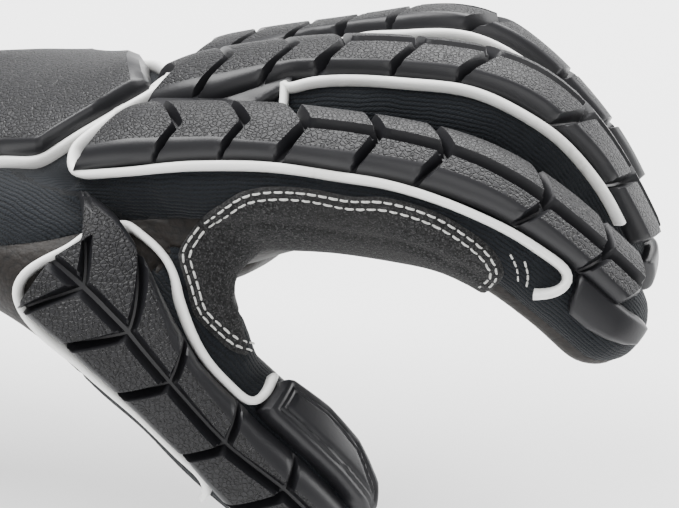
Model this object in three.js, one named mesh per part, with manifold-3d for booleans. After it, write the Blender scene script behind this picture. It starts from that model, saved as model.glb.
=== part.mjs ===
// Padded work glove for a left hand, worn shape: knit back, leather palm, moulded rubber guards.
// X runs from the cuff to the fingertips, Y to the little finger, Z out of the back of the hand.
import * as THREE from "three";
import { mergeVertices } from "three/addons/utils/BufferGeometryUtils.js";
import Module from "manifold-3d";

const wasm = await Module();
wasm.setup();

// Sizes in millimetres
const palmLength = 162;
const palmWidth = 93;
const palmDepth = 44;
const fingerReach = 142;
const fingerWidth = palmWidth * 0.26;
const fingerDepth = palmDepth * 0.55;
const thumbWidth = palmWidth * 0.34;
const cuffLength = palmLength * 0.34;
const wall = 1.8;
const seam = 0.3;
const cover = 1.3;
const bindingWidth = 8;
const guardHeight = 4.8;
const edgeWidth = 1.8;
const edgeHeight = 1.7;
const backPadHeight = 8;
const palmPadThickness = 3.4;
const tipLength = 11;
const roundness = 2.3;

const X = new THREE.Vector3(1, 0, 0);

function table(columns, rows) {
  return rows.map((row) => Object.fromEntries(columns.map((name, i) => [name, row[i]])));
}

function radians(degrees) {
  return (degrees * Math.PI) / 180;
}

// Value of one column at a place along the table, with a smooth run through the rows
function along(rows, column, at) {
  const last = rows.length - 1;
  if (at <= rows[0].at) return rows[0][column];
  if (at >= rows[last].at) return rows[last][column];
  const i = rows.findIndex((row) => row.at > at) - 1;
  const slope = (k) => {
    const before = rows[Math.max(k - 1, 0)];
    const after = rows[Math.min(k + 1, last)];
    return (after[column] - before[column]) / (after.at - before.at);
  };
  const span = rows[i + 1].at - rows[i].at;
  const t = (at - rows[i].at) / span;
  const start = (1 + 2 * t) * (1 - t) ** 2 * rows[i][column] + t * (1 - t) ** 2 * span * slope(i);
  const end = t * t * (3 - 2 * t) * rows[i + 1][column] + t * t * (t - 1) * span * slope(i + 1);
  return start + end;
}

// Hand from the cuff edge to the finger crotch, shares of palm length, width and depth
const handRows = table(["at", "y", "z", "half", "top", "bottom", "roll"], [
  [0, 0, 0, 0.42, 0.455, 0.455, 0],
  [0.11, 0, 0, 0.41, 0.43, 0.43, 0],
  [0.27, 0, 0.045, 0.37, 0.4, 0.41, 0],
  [0.38, 0.02, 0.16, 0.42, 0.465, 0.5, -2],
  [0.49, 0.01, 0.25, 0.45, 0.465, 0.52, -6],
  [0.62, -0.01, 0.35, 0.48, 0.445, 0.545, -12],
  [0.74, -0.01, 0.455, 0.495, 0.445, 0.57, -16],
  [0.865, 0, 0.52, 0.5, 0.445, 0.57, -16],
  [1, 0.01, 0.57, 0.485, 0.34, 0.43, -16],
]);

// Girths are shares of the digit's width (half) and depth (top, bottom)
const fingerGirth = table(["at", "half", "top", "bottom"], [
  [0, 0.3, 0.25, 0.3],
  [0.16, 0.5, 0.488, 0.51],
  [0.6, 0.5, 0.488, 0.51],
  [0.8, 0.485, 0.475, 0.44],
  [1, 0.465, 0.455, 0.41],
]);
const indexGirth = table(["at", "half", "top", "bottom"], [
  [0, 0.36, 0.32, 0.36],
  [0.12, 0.5, 0.488, 0.56],
  [0.55, 0.5, 0.488, 0.57],
  [0.68, 0.495, 0.488, 0.46],
  [0.8, 0.485, 0.475, 0.38],
  [1, 0.46, 0.455, 0.36],
]);
const thumbGirth = table(["at", "half", "top", "bottom"], [
  [0, 0.35, 0.3, 0.4],
  [0.15, 0.505, 0.5, 0.57],
  [0.4, 0.505, 0.485, 0.54],
  [0.6, 0.475, 0.465, 0.5],
  [0.8, 0.485, 0.465, 0.48],
  [1, 0.47, 0.45, 0.46],
]);

// Bends in degrees at shares of the reach: pitch lifts the digit, yaw turns it to the little finger
const bendColumns = ["at", "pitch", "yaw"];
const indexBends = table(bendColumns, [
  [0, 6, 0], [0.28, 5, 0], [0.38, 1, 0], [0.5, -3, 0], [0.585, -11, 0],
  [0.68, -27, 0], [0.77, -37, 0], [0.86, -41, 0], [1, -43, 0],
]);
const middleBends = table(bendColumns, [
  [0, 14, 0], [0.25, 13, 0], [0.37, 10, 0], [0.45, 4, 0], [0.55, -2, 0],
  [0.61, -14, 0], [0.67, -36, 0], [0.75, -53, 0], [0.84, -60, 0], [1, -66, 0],
]);
const ringBends = table(bendColumns, [
  [0, 13, 0], [0.32, 14, 0], [0.42, 17, 0], [0.5, 15, 0], [0.55, 2, 0],
  [0.6, -26, 0], [0.68, -42, 0], [0.78, -50, 0], [0.87, -61, 0], [1, -68, 0],
]);
const littleBends = table(bendColumns, [
  [0, 8, 0], [0.38, 8, 0], [0.5, 4, 0], [0.6, -15, 0], [0.72, -38, 0], [0.85, -52, 0], [1, -62, 0],
]);
const thumbBends = table(bendColumns, [
  [0, 15, -42], [0.15, 10, -40], [0.27, -8, -26], [0.37, -28, -17], [0.46, -43, -10],
  [0.62, -45, -3], [0.77, -45, 4], [0.88, -50, 10], [1, -56, 14],
]);

// Root as shares of palm length, width and depth; up is the way the back of the digit faces
function makeDigit({ root, reach, width, depth, girth, bends, up }) {
  const steps = 64;
  const start = new THREE.Vector3(root[0] * palmLength, root[1] * palmWidth, root[2] * palmDepth);
  const heading = (at) => {
    const pitch = radians(along(bends, "pitch", at));
    const yaw = radians(along(bends, "yaw", at));
    return new THREE.Vector3(
      Math.cos(pitch) * Math.cos(yaw), Math.cos(pitch) * Math.sin(yaw), Math.sin(pitch));
  };
  const points = [start];
  for (let i = 0; i < steps; i += 1) {
    points.push(points[i].clone().addScaledVector(heading((i + 0.5) / steps), reach / steps));
  }
  const centre = (at) => {
    const place = THREE.MathUtils.clamp(at, 0, 1) * steps;
    const i = Math.min(Math.floor(place), steps - 1);
    return points[i].clone().lerp(points[i + 1], place - i);
  };
  return { reach, width, depth, girth, up, heading, centre };
}

function tilted(degrees) {
  return new THREE.Vector3(0, -Math.sin(radians(degrees)), Math.cos(radians(degrees)));
}

function makeFinger(root, reach, size, girth, bends, tilt) {
  const finger = { width: fingerWidth * size, depth: fingerDepth * size, girth, bends };
  return makeDigit({ ...finger, root, reach: fingerReach * reach, up: tilted(tilt) });
}

const index = makeFinger([0.679, -0.392, 0.75], 0.958, 1, indexGirth, indexBends, 17);
const middle = makeFinger([0.691, -0.118, 0.695], 1, 1, fingerGirth, middleBends, 2);
const ring = makeFinger([0.691, 0.148, 0.534], 0.965, 0.98, fingerGirth, ringBends, -13);
const little = makeFinger([0.691, 0.4, 0.205], 0.79, 0.88, fingerGirth, littleBends, -25);
const thumb = makeDigit({
  root: [0.475, -0.301, 0.318],
  reach: fingerReach * 0.923,
  width: thumbWidth,
  depth: fingerDepth * 1.07,
  girth: thumbGirth,
  bends: thumbBends,
  up: new THREE.Vector3(0.174, -0.82, 0.545),
});
const fingers = { index, middle, ring, little };

function frameAt(digit, at) {
  const ahead = digit.heading(THREE.MathUtils.clamp(at, 0, 1)).normalize();
  const out = digit.up.clone().addScaledVector(ahead, -digit.up.dot(ahead)).normalize();
  const side = new THREE.Vector3().crossVectors(ahead, out);
  return { ahead, out, side, centre: digit.centre(at) };
}

function rounded(value) {
  return Math.sign(value) * Math.abs(value) ** (2 / roundness);
}

// Place on a digit: angle 0 is the middle of its back, positive toward the thumb side
function onDigit(digit, at, angle, lift) {
  const { out, side, centre, ahead } = frameAt(digit, at);
  const past = (at - 1) * digit.reach + tipLength;
  const inTip = THREE.MathUtils.clamp(past / tipLength, 0, 1);
  const taper = Math.sqrt(Math.max(1 - inTip * inTip, 0));
  const across = rounded(Math.sin(radians(angle)));
  const up = rounded(Math.cos(radians(angle)));
  const half = digit.width * along(digit.girth, "half", at) + lift;
  const rise = digit.depth * along(digit.girth, up > 0 ? "top" : "bottom", at) + lift;
  return centre
    .addScaledVector(side, half * across * taper)
    .addScaledVector(out, rise * up * taper)
    .addScaledVector(ahead, lift * inTip);
}

// Triangles across a ring, zipped between its upper points and the rest
function capFaces(sides, upper) {
  const lower = sides - upper;
  const faces = [];
  let a = 0;
  let b = sides - 1;
  while (a < upper - 1 || b > upper) {
    const upperNext = (a + 0.5) / (upper - 1) <= (sides - b - 0.5) / (lower - 1);
    if (b === upper || (a < upper - 1 && upperNext)) {
      faces.push([a, a + 1, b]);
      a += 1;
    } else {
      faces.push([a, b - 1, b]);
      b -= 1;
    }
  }
  return faces;
}

// Closed solid through a list of rings with the same number of points, capped at both ends
function loft(rings, upper = rings[0].length / 2) {
  const sides = rings[0].length;
  const faces = [];
  for (let i = 0; i < rings.length - 1; i += 1) {
    for (let j = 0; j < sides; j += 1) {
      const a = i * sides + j;
      const b = i * sides + ((j + 1) % sides);
      faces.push(a, b, b + sides, a, b + sides, a + sides);
    }
  }
  const end = (rings.length - 1) * sides;
  for (const [a, b, c] of capFaces(sides, upper)) faces.push(c, b, a, end + a, end + b, end + c);
  const geometry = new THREE.BufferGeometry();
  const places = rings.flat().flatMap((p) => p.toArray());
  geometry.setAttribute("position", new THREE.Float32BufferAttribute(places, 3));
  geometry.setIndex(faces);
  return outward(geometry);
}

function volumeOf(geometry) {
  const place = geometry.attributes.position;
  const at = geometry.index.array;
  const corner = (i) => new THREE.Vector3().fromBufferAttribute(place, at[i]);
  let sum = 0;
  for (let i = 0; i < at.length; i += 3) sum += corner(i).dot(corner(i + 1).cross(corner(i + 2))) / 6;
  return sum;
}

function outward(geometry) {
  if (volumeOf(geometry) < 0) geometry.index.array.reverse();
  return geometry;
}

function solidOf(source, nearness = 1e-4) {
  const bare = source.clone();
  bare.deleteAttribute("normal");
  bare.deleteAttribute("uv");
  const merged = mergeVertices(bare, nearness);
  const corners = merged.index.array;
  const faces = [];
  for (let i = 0; i < corners.length; i += 3) {
    const [a, b, c] = corners.slice(i, i + 3);
    if (a !== b && b !== c && c !== a) faces.push(a, b, c);
  }
  return new wasm.Manifold(new wasm.Mesh({
    numProp: 3,
    vertProperties: Float32Array.from(merged.attributes.position.array),
    triVerts: Uint32Array.from(faces),
  }));
}

function boxSolid(low, high) {
  const size = high.map((value, i) => value - low[i]);
  const geometry = new THREE.BoxGeometry(...size);
  geometry.translate(...low.map((value, i) => value + size[i] / 2));
  return solidOf(geometry);
}

function joined(solids) {
  return solids.reduce((sum, solid) => sum.add(solid));
}

// The biggest connected piece, so that a cut leaves no loose crumbs
function mainPiece(solid) {
  return solid.decompose().reduce((best, piece) => (piece.volume() > best.volume() ? piece : best));
}

function bareGeometry(solid) {
  const mesh = solid.getMesh();
  const geometry = new THREE.BufferGeometry();
  geometry.setAttribute("position", new THREE.Float32BufferAttribute(mesh.vertProperties, 3));
  geometry.setIndex(Array.from(mesh.triVerts));
  return geometry;
}

function geometryOf(solid) {
  const clean = solidOf(bareGeometry(mainPiece(solid.asOriginal().simplify(0.08))), 0.01);
  return bareGeometry(mainPiece(clean.asOriginal().simplify(0.02)));
}

// Rings of the hand, the digits and the web for a skin lifted off the outer face
function handSolid(lift, sides) {
  const rings = [0, 0.14, 0.27, 0.38, 0.5, 0.62, 0.74, 0.87, 1].map((at) => {
    const get = (column) => along(handRows, column, at);
    const out = tilted(get("roll"));
    const side = new THREE.Vector3().crossVectors(X, out);
    const stretch = at === 0 && lift < 0 ? -5 : at === 1 ? lift : 0;
    const centre = new THREE.Vector3(
      at * palmLength + stretch, get("y") * palmWidth, get("z") * palmDepth);
    return Array.from({ length: sides }, (_, j) => {
      const angle = (j * 2 * Math.PI) / sides;
      const up = rounded(Math.cos(angle));
      const rise = palmDepth * get(up > 0 ? "top" : "bottom") + lift;
      return centre.clone()
        .addScaledVector(side, (palmWidth * get("half") + lift) * rounded(Math.sin(angle)))
        .addScaledVector(out, rise * up);
    });
  });
  return solidOf(loft(rings));
}

const fingerRows = [0, 0.04, 0.09, 0.16, 0.38, 0.5, 0.59, 0.66, 0.74, 0.84];
const thumbRows = [0, 0.15, 0.29, 0.42, 0.57, 0.72, 0.84];

function digitSolid(digit, lift, sides) {
  const tipShare = tipLength / digit.reach;
  const rows = digit === thumb ? thumbRows : fingerRows;
  const shares = [...rows, ...[0, 0.55, 0.88].map((step) => 1 - tipShare + step * tipShare)];
  const rings = shares.map((at) =>
    Array.from({ length: sides }, (_, j) => onDigit(digit, at, ((j + 0.5) * 360) / sides, lift)));
  return solidOf(loft(rings));
}

// Web between thumb and index finger: its free edge, its root and half its thickness
const webRows = table(["edge", "root", "half"], [
  [[0.957, -0.602, -0.09], [0.648, -0.505, 0.5], 0.227],
  [[0.932, -0.559, 0.16], [0.648, -0.462, 0.545], 0.205],
  [[0.907, -0.516, 0.386], [0.648, -0.419, 0.59], 0.205],
  [[0.938, -0.462, 0.545], [0.648, -0.387, 0.636], 0.227],
  [[1.019, -0.398, 0.705], [0.648, -0.355, 0.682], 0.227],
]);

function webSolid(lift, sides) {
  const place = ([x, y, z]) => new THREE.Vector3(x * palmLength, y * palmWidth, z * palmDepth);
  const across = place(webRows[4].edge).sub(place(webRows[0].edge)).normalize();
  const rings = webRows.map((row) => {
    const edge = place(row.edge);
    const root = place(row.root);
    const reach = edge.clone().sub(root);
    const half = reach.length() / 2 + lift;
    reach.normalize();
    const out = new THREE.Vector3().crossVectors(across, reach).normalize();
    const centre = edge.add(root).multiplyScalar(0.5);
    return Array.from({ length: sides }, (_, j) => {
      const angle = (j * 2 * Math.PI) / sides;
      return centre.clone()
        .addScaledVector(reach, half * rounded(Math.sin(angle)))
        .addScaledVector(out, (row.half * palmDepth + lift) * rounded(Math.cos(angle)));
    });
  });
  return solidOf(loft(rings));
}

function gloveParts(lift, fine) {
  const sides = fine ? 10 : 6;
  const digits = [...Object.values(fingers), thumb].map((digit) => digitSolid(digit, lift, sides));
  return [...digits, handSolid(lift, fine ? 16 : 12), webSolid(lift, sides)];
}

function gloveSolid(lift, fine) {
  return joined(gloveParts(lift, fine));
}

const outer = gloveSolid(0, true);
const clearance = gloveSolid(seam, true);
const hollow = gloveSolid(-wall, false);
const shell = outer.subtract(hollow);

// Cutting solids
const far = 400;
const crotch = palmLength;
const half = seam / 2;
const beyondCuff = boxSolid([cuffLength + half, -far, -far], [crotch - half, far, far]);
const beforeHand = boxSolid([-far, -far, -far], [cuffLength - half, far, far]);
const beyondCrotch = boxSolid([crotch + half, -far, -far], [far, far, far]);

// Everything on the back side of a digit, from a height off its centreline
function backSide(digit, low, from) {
  const high = digit.depth;
  const rows = 10;
  const wide = digit.width * 0.75;
  const rings = Array.from({ length: rows }, (_, i) => {
    const at = from + ((1.12 - from) * i) / (rows - 1);
    const { out, side, centre, ahead } = frameAt(digit, at);
    centre.addScaledVector(ahead, Math.max(at - 1, 0) * digit.reach);
    return [[-wide, low], [wide, low], [wide, high], [-wide, high]].map(([s, h]) =>
      centre.clone().addScaledVector(side, s).addScaledVector(out, h));
  });
  return solidOf(loft(rings));
}

const thumbFrom = 0.44;
function thumbZone(extra) {
  const trimmed = digitSolid(thumb, 4 + extra, 10);
  const { centre, ahead } = frameAt(thumb, thumbFrom);
  const box = new THREE.BoxGeometry(far, far, far);
  box.translate(0, 0, far / 2 - extra);
  box.applyQuaternion(new THREE.Quaternion().setFromUnitVectors(new THREE.Vector3(0, 0, 1), ahead));
  box.translate(...centre.toArray());
  return trimmed.intersect(solidOf(box));
}

const group = new THREE.Group();
function add(name, solid, color, roughness) {
  const material = new THREE.MeshStandardMaterial({ color, roughness, metalness: 0 });
  const mesh = new THREE.Mesh(geometryOf(solid), material);
  mesh.name = name;
  group.add(mesh);
}

const knit = [0x10161d, 0.95];
const leather = [0x1c1815, 0.8];
const rubber = [0x303236, 0.55];
const white = [0xebebe8, 0.5];
const felt = [0x3e3e3e, 0.95];

// Palm and back of the hand part along a line from the wrist to the crotch
function handHalf(sign) {
  const line = [[-0.1, 0], [0.38, 0.1], [0.7, 0.42], [1.1, 0.62]];
  const shape = new THREE.Shape();
  line.forEach(([x, z], i) => {
    const point = [x * palmLength, z * palmDepth + sign * half];
    if (i === 0) shape.moveTo(...point);
    else shape.lineTo(...point);
  });
  shape.lineTo(1.1 * palmLength, sign * far);
  shape.lineTo(-0.1 * palmLength, sign * far);
  const block = new THREE.ExtrudeGeometry(shape, { depth: 2 * far, bevelEnabled: false });
  block.translate(0, 0, -far);
  block.rotateX(Math.PI / 2);
  block.rotateX(radians(-12));
  return solidOf(block);
}

add("cuff", shell.intersect(beforeHand), ...knit);
const handShell = shell.intersect(beyondCuff).subtract(thumbZone(half));
add("hand_back", handShell.intersect(handHalf(1)), ...knit);
add("hand_palm", handShell.intersect(handHalf(-1)), ...leather);

for (const [name, digit] of Object.entries(fingers)) {
  const tube = digitSolid(digit, 0, 10).intersect(beyondCrotch).subtract(hollow);
  add(`${name}_back`, tube.intersect(backSide(digit, half, 0.25)), ...knit);
  add(`${name}_palm`, tube.subtract(backSide(digit, -half, 0.25)), ...leather);
}
const thumbShell = shell.intersect(thumbZone(-half));
add("thumb_back", thumbShell.intersect(backSide(thumb, half, 0.3)), ...knit);
add("thumb_palm", thumbShell.subtract(backSide(thumb, -half, 0.3)), ...leather);

// Thin layer over the glove inside a zone
const covered = gloveSolid(seam + cover, true);
function layer(zone) {
  return covered.intersect(zone).subtract(clearance);
}

function prism(outline, low, high, axes) {
  const shape = new THREE.Shape(outline.map(([x, y]) => new THREE.Vector2(x, y)));
  const block = new THREE.ExtrudeGeometry(shape, { depth: high - low, bevelEnabled: false });
  block.translate(0, 0, low);
  if (axes) block.applyMatrix4(axes);
  return solidOf(block);
}

add("cuff_binding", layer(boxSolid([-1, -far, -far], [bindingWidth, far, far])), ...leather);

// Height of the glove's back over a place
const outerMesh = new THREE.Mesh(geometryOf(outer), new THREE.MeshBasicMaterial({ side: THREE.DoubleSide }));
const caster = new THREE.Raycaster();
function backPoint(x, y) {
  for (let share = 1; share > 0; share -= 0.02) {
    caster.set(new THREE.Vector3(x, y * share, far), new THREE.Vector3(0, 0, -1));
    const hits = caster.intersectObject(outerMesh);
    if (hits.length > 0) return hits[0].point;
  }
  return new THREE.Vector3(x, 0, 0);
}

function backPlace([x, y]) {
  const step = 1.5;
  const [px, py] = [x * palmLength, y * palmWidth];
  const place = backPoint(px, py);
  const dx = backPoint(px + step, py).sub(backPoint(px - step, py));
  const dy = backPoint(px, py + step).sub(backPoint(px, py - step));
  return { place, out: dx.cross(dy).normalize() };
}

function digitPlace(digit, at, angle) {
  const place = onDigit(digit, at, angle, 0);
  return { place, out: onDigit(digit, at, angle, 1).sub(place).normalize() };
}

// Raised line along a digit at an angle, laid on the skin
function digitLine(digit, rows) {
  const places = rows.map(([at, angle]) => digitPlace(digit, at, angle));
  const [low, high] = [2.6 * seam, seam + edgeHeight];
  const rings = places.map(({ place, out }, i) => {
    const before = places[Math.max(i - 1, 0)].place;
    const after = places[Math.min(i + 1, places.length - 1)].place;
    const side = after.clone().sub(before).cross(out).normalize();
    return [[-1, low], [1, low], [1, high], [-1, high]].map(([s, h]) => place.clone()
      .addScaledVector(side, (s * edgeWidth) / 2)
      .addScaledVector(out, h));
  });
  return solidOf(loft(rings));
}

const fingerSlant = 0.04;
const fingerBlocks = [[0.39, 0.49], [0.49, 0.59], [0.59, 0.72], [0.72, 0.84], [0.84, 0.91]];

// Cross sections of a strip: two for each block and one in the groove after it
function blockRows(blocks, groove, near, other, reach) {
  const bevel = 1.2 / reach;
  return blocks.flatMap(([from, to]) => {
    const middle = to - from > 0.11 ? [(from + to) / 2] : [];
    const raised = [from + bevel, ...middle, to - bevel];
    return [
      ...raised.map((at) => ({ at, near, other, groove, height: 1 })),
      { at: to, near, other, groove, height: 0 },
    ];
  });
}

// A line beside a strip turns at the same places as the edge of the strip
function lineRows(digit) {
  const start = [0.1, 0.2, 0.3, 0.35];
  return [...start, ...blockRows(fingerBlocks, 1, 0, 0, digit.reach).map((row) => row.at - fingerSlant)];
}

function fingerLine(digit, angle, from, to) {
  const rows = [from, ...lineRows(digit).filter((at) => at > from + 0.01 && at < to - 0.01), to];
  return digitLine(digit, rows.map((at) => [at, angle]));
}

// Raised line across the back of the hand, a short bar from each place to the next
function backLine(places, grow = 0) {
  const spread = edgeWidth / 2 + grow;
  const high = grow > 0 ? guardHeight + 3 : seam + edgeHeight;
  const bars = places.slice(1).map((end, i) => {
    const start = places[i];
    const ahead = end.place.clone().sub(start.place).normalize();
    const sum = start.out.clone().add(end.out);
    const out = sum.addScaledVector(ahead, -sum.dot(ahead)).normalize();
    const side = new THREE.Vector3().crossVectors(ahead, out);
    const section = [[-1, -1.5], [1, -1.5], [1, high], [-1, high]];
    const ring = (place, shift) => section.map(([s, h]) => place.clone()
      .addScaledVector(ahead, shift)
      .addScaledVector(side, s * spread)
      .addScaledVector(out, h));
    return solidOf(loft([ring(start.place, -spread), ring(end.place, spread)]));
  });
  return joined(bars);
}

// Moulded strip along a digit, with blocks that point to the tip on both sides of a centre groove.
// A row is a cross section; its height is a share of the block height above the skin of the strip.
const profile = table(["angle", "height", "groove"], [
  [1, 0, 0], [0.66, 1, 0], [0.13, 1, 0], [0.07, 1, 1],
  [-0.07, 1, 1], [-0.13, 1, 0], [-0.5, 1, 0], [-0.85, 1, 0], [-1, 0, 0],
]);
function stripSolid(digit, rows, { slant, centre = 0 }) {
  const rings = rows.map(({ at, near, other, height, groove, lean = 0 }) => {
    const angleOf = (share) => centre + share * (share > 0 ? near - centre : centre - other);
    const placeOf = (share, lift) =>
      onDigit(digit, at - slant * Math.abs(share) - lean * share, angleOf(share), lift);
    const top = profile.map((point) => {
      const share = height * point.height * (point.groove ? 1 - groove : 1);
      const lift = seam + cover + (guardHeight - cover) * share;
      return placeOf(point.angle, lift);
    });
    const bottom = [-1, -0.66, -0.33, 0, 0.33, 0.66, 1].map((share) => placeOf(share, 3.1 * seam));
    return [...top, ...bottom];
  });
  return solidOf(loft(rings, profile.length));
}

// Angles of a finger strip: its two edges, the groove along it, and the raised lines beside it
const nearEdge = 21;
const otherEdge = -38;
const grooveAngle = -9;
const edgeGap = ((2.6 * seam + edgeWidth / 2) / (fingerWidth / 2)) * 62;
const nearLine = nearEdge + edgeGap;
const otherLine = otherEdge - edgeGap;
function fingerStrip(digit, start, chevrons, near, other) {
  const plain = { groove: 0, height: 0 };
  return stripSolid(digit, [
    { at: start, near, other, ...plain },
    ...blockRows(chevrons, 0, near, other, digit.reach),
    ...blockRows([[0.37, 0.39], ...fingerBlocks], 1, nearEdge, otherEdge, digit.reach).slice(2),
    { at: 0.935, near: nearEdge, other: otherEdge, ...plain },
    { at: 0.965, near: nearEdge, other: otherEdge, ...plain },
  ], { slant: fingerSlant, centre: grooveAngle });
}
const backEdge = [[0.7, -0.42], [0.725, -0.28], [0.765, -0.1], [0.785, 0.08], [0.8, 0.25], [0.815, 0.37]];
const plateShift = ((edgeWidth / 2 + seam) * 1.4) / palmLength;
const plate = prism([
  ...backEdge.map(([x, y]) => [x + plateShift, y]), [0.95, 0.37], [0.965, 0.34],
  [0.935, 0.3], [0.935, 0.25], [0.96, 0.2], [0.96, 0.07], [0.93, 0.03], [0.93, -0.02],
  [0.955, -0.06], [0.955, -0.2], [0.905, -0.24], [0.905, -0.28], [0.955, -0.33], [0.955, -0.42],
].map(([x, y]) => [x * palmLength, y * palmWidth]), palmDepth * 0.5, far);
const strips = [
  fingerStrip(index, 0.065, [[0.08, 0.19], [0.19, 0.3]], nearEdge + 4, -56),
  fingerStrip(middle, 0.14, [[0.16, 0.25], [0.25, 0.34]], 46, -56),
  fingerStrip(ring, 0.14, [[0.16, 0.25], [0.25, 0.34]], 46, -56),
  fingerStrip(little, 0.21, [[0.23, 0.33]], 52, otherEdge),
];
const edgeEnd = 0.83;
const backPlaces = [
  digitPlace(index, 0.04, nearLine + 4), ...[[0.69, -0.46], ...backEdge].map(backPlace),
  digitPlace(little, 0.22, otherLine),
];
function forkPlaces(left, right, x, y) {
  return [
    digitPlace(left, 0.39, otherLine), backPlace([x, y - 0.02]), backPlace([x, y + 0.02]),
    digitPlace(right, 0.39, nearLine),
  ];
}
const forks = [
  ["index_fork_edge", index, middle, forkPlaces(index, middle, 0.925, -0.255)],
  ["middle_fork_edge", middle, ring, forkPlaces(middle, ring, 0.95, 0.01)],
  ["ring_fork_edge", ring, little, forkPlaces(ring, little, 0.955, 0.275)],
];
const channels = [backPlaces, ...forks.map((fork) => fork[3])].map((places) => backLine(places, seam));
const guard = joined([layer(plate), ...strips.map((strip) => strip.subtract(clearance))]);
add("hand_guard", guard.subtract(joined(channels)), ...rubber);
const tipTurn = [[0.785, 68], [0.81, 56], [0.822, 42], [0.815, nearLine]];
const indexRun = lineRows(index).reverse()
  .filter((at) => at > 0.08 && at < 0.8)
  .map((at) => [at, nearLine]);
add("hand_guard_edge", joined([
  digitLine(index, [...tipTurn, ...indexRun, [0.03, nearLine + 4]]).subtract(clearance),
  backLine(backPlaces).subtract(clearance),
  fingerLine(little, otherLine, 0.2, edgeEnd).subtract(clearance),
]), ...white);
for (const [name, left, right, places] of forks) {
  add(name, joined([
    fingerLine(left, otherLine, 0.39, edgeEnd),
    backLine(places),
    fingerLine(right, nearLine, 0.39, edgeEnd),
  ]).subtract(clearance), ...white);
}

// Thumb guard: the groove sits off the middle of the thumb, toward its outer side
const thumbCentre = 4;
const thumbBlocks = [[0.39, 0.47], [0.47, 0.57], [0.57, 0.71], [0.71, 0.83], [0.83, 0.92]];
const thumbEdges = table(["at", "near", "other"], [
  [0, 40, -56], [0.38, 42, -58], [0.44, 44, -56], [0.505, 43, -38], [0.55, 42, -26], [0.605, 41, -18],
  [0.72, 41, -18], [0.78, 41, -52], [0.9, 41, -60], [1, 41, -60],
]);
function thumbRow(row) {
  return { ...row, near: along(thumbEdges, "near", row.at), other: along(thumbEdges, "other", row.at) };
}
const thumbStrip = stripSolid(thumb, [
  { at: 0.385, lean: 0.014, height: 0, groove: 0 },
  { at: 0.4, lean: 0.014, height: 1, groove: 1 },
  ...blockRows(thumbBlocks, 1, 0, 0, thumb.reach).slice(1),
  { at: 0.96, height: 0, groove: 0 },
].map(thumbRow), { slant: 0.035, centre: thumbCentre });
const sideGap = ((3.6 * seam + edgeWidth / 2) / (thumbWidth / 2)) * 57.3;
const thumbSide = (side, from, to) => blockRows(thumbBlocks, 1, 0, 0, thumb.reach)
  .map((row) => row.at - 0.035)
  .filter((at) => at > from && at < to)
  .map((at) => [at, along(thumbEdges, side, at + 0.035) + (side === "near" ? sideGap : -sideGap)]);
const thumbOutline = [
  [0.752, 78], [0.745, 62], [0.725, 41 + sideGap], ...thumbSide("near", 0.34, 0.71).reverse(),
  [0.315, 42], [0.302, 30], [0.304, 15], [0.316, 0], [0.33, -15], [0.338, -35], [0.346, -55], [0.358, -74],
  [0.385, -82], [0.412, -76], ...thumbSide("other", 0.43, 0.68), [0.695, -26], [0.7, -44], [0.692, -66],
];
add("thumb_guard", thumbStrip.subtract(clearance), ...rubber);
add("thumb_guard_edge", digitLine(thumb, thumbOutline).subtract(clearance), ...white);

// Room around a strip, from below the skin to above the blocks
function bandSolid(digit, rows) {
  const rings = rows.map(({ at, near, other }) => {
    const middle = (near + other) / 2;
    return [
      ...[near, middle, other].map((angle) => onDigit(digit, at, angle, guardHeight)),
      ...[other, middle, near].map((angle) => onDigit(digit, at, angle, -2 * wall)),
    ];
  });
  return solidOf(loft(rings));
}

// Pad over the back of the hand, narrower toward the knuckles
const padRows = table(["at", "near", "nearTop", "crest", "otherTop", "other", "height"], [
  [0.34, -0.3, -0.26, -0.03, 0.2, 0.25, 0.1],
  [0.36, -0.38, -0.33, -0.03, 0.24, 0.3, 0.8],
  [0.56, -0.44, -0.36, -0.03, 0.22, 0.28, 1],
  [0.6, -0.4, -0.33, -0.03, 0.2, 0.26, 1],
  [0.705, -0.15, -0.11, -0.03, 0.06, 0.1, 1],
  [0.72, -0.12, -0.09, -0.03, 0.04, 0.07, 0.1],
]);
const padRings = padRows.map(({ at, height, ...row }) => {
  const rise = (share) => seam + cover + (backPadHeight - cover) * share * height;
  const edge = [[row.near, 0], [row.nearTop, 0.75], [row.crest, 1], [row.otherTop, 0.75], [row.other, 0]];
  const top = edge.map(([y, share]) => {
    const point = backPoint(at * palmLength, y * palmWidth);
    return point.setZ(point.z + rise(share));
  });
  const bottom = [row.other, row.crest, row.near].map((y) => {
    const point = backPoint(at * palmLength, y * palmWidth);
    return point.setZ(point.z - 3);
  });
  return [...top, ...bottom];
});
add("back_pad", solidOf(loft(padRings, 5)).subtract(clearance), ...rubber);
const padOutline = [
  ...padRows.map((row) => [row.at, row.near]), ...[...padRows].reverse().map((row) => [row.at, row.other]),
];
const padCentre = [0.54, -0.05];
const padLine = [...padOutline, padOutline[0]].map(([x, y]) => {
  const [dx, dy] = [(x - padCentre[0]) * palmLength, (y - padCentre[1]) * palmWidth];
  const grow = (edgeWidth / 2 + 2 * seam) * 1.3;
  const size = Math.hypot(dx, dy);
  return backPlace([x + ((dx / size) * grow) / palmLength, y + ((dy / size) * grow) / palmWidth]);
});
add("back_pad_edge", backLine(padLine).subtract(clearance), ...white);

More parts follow.
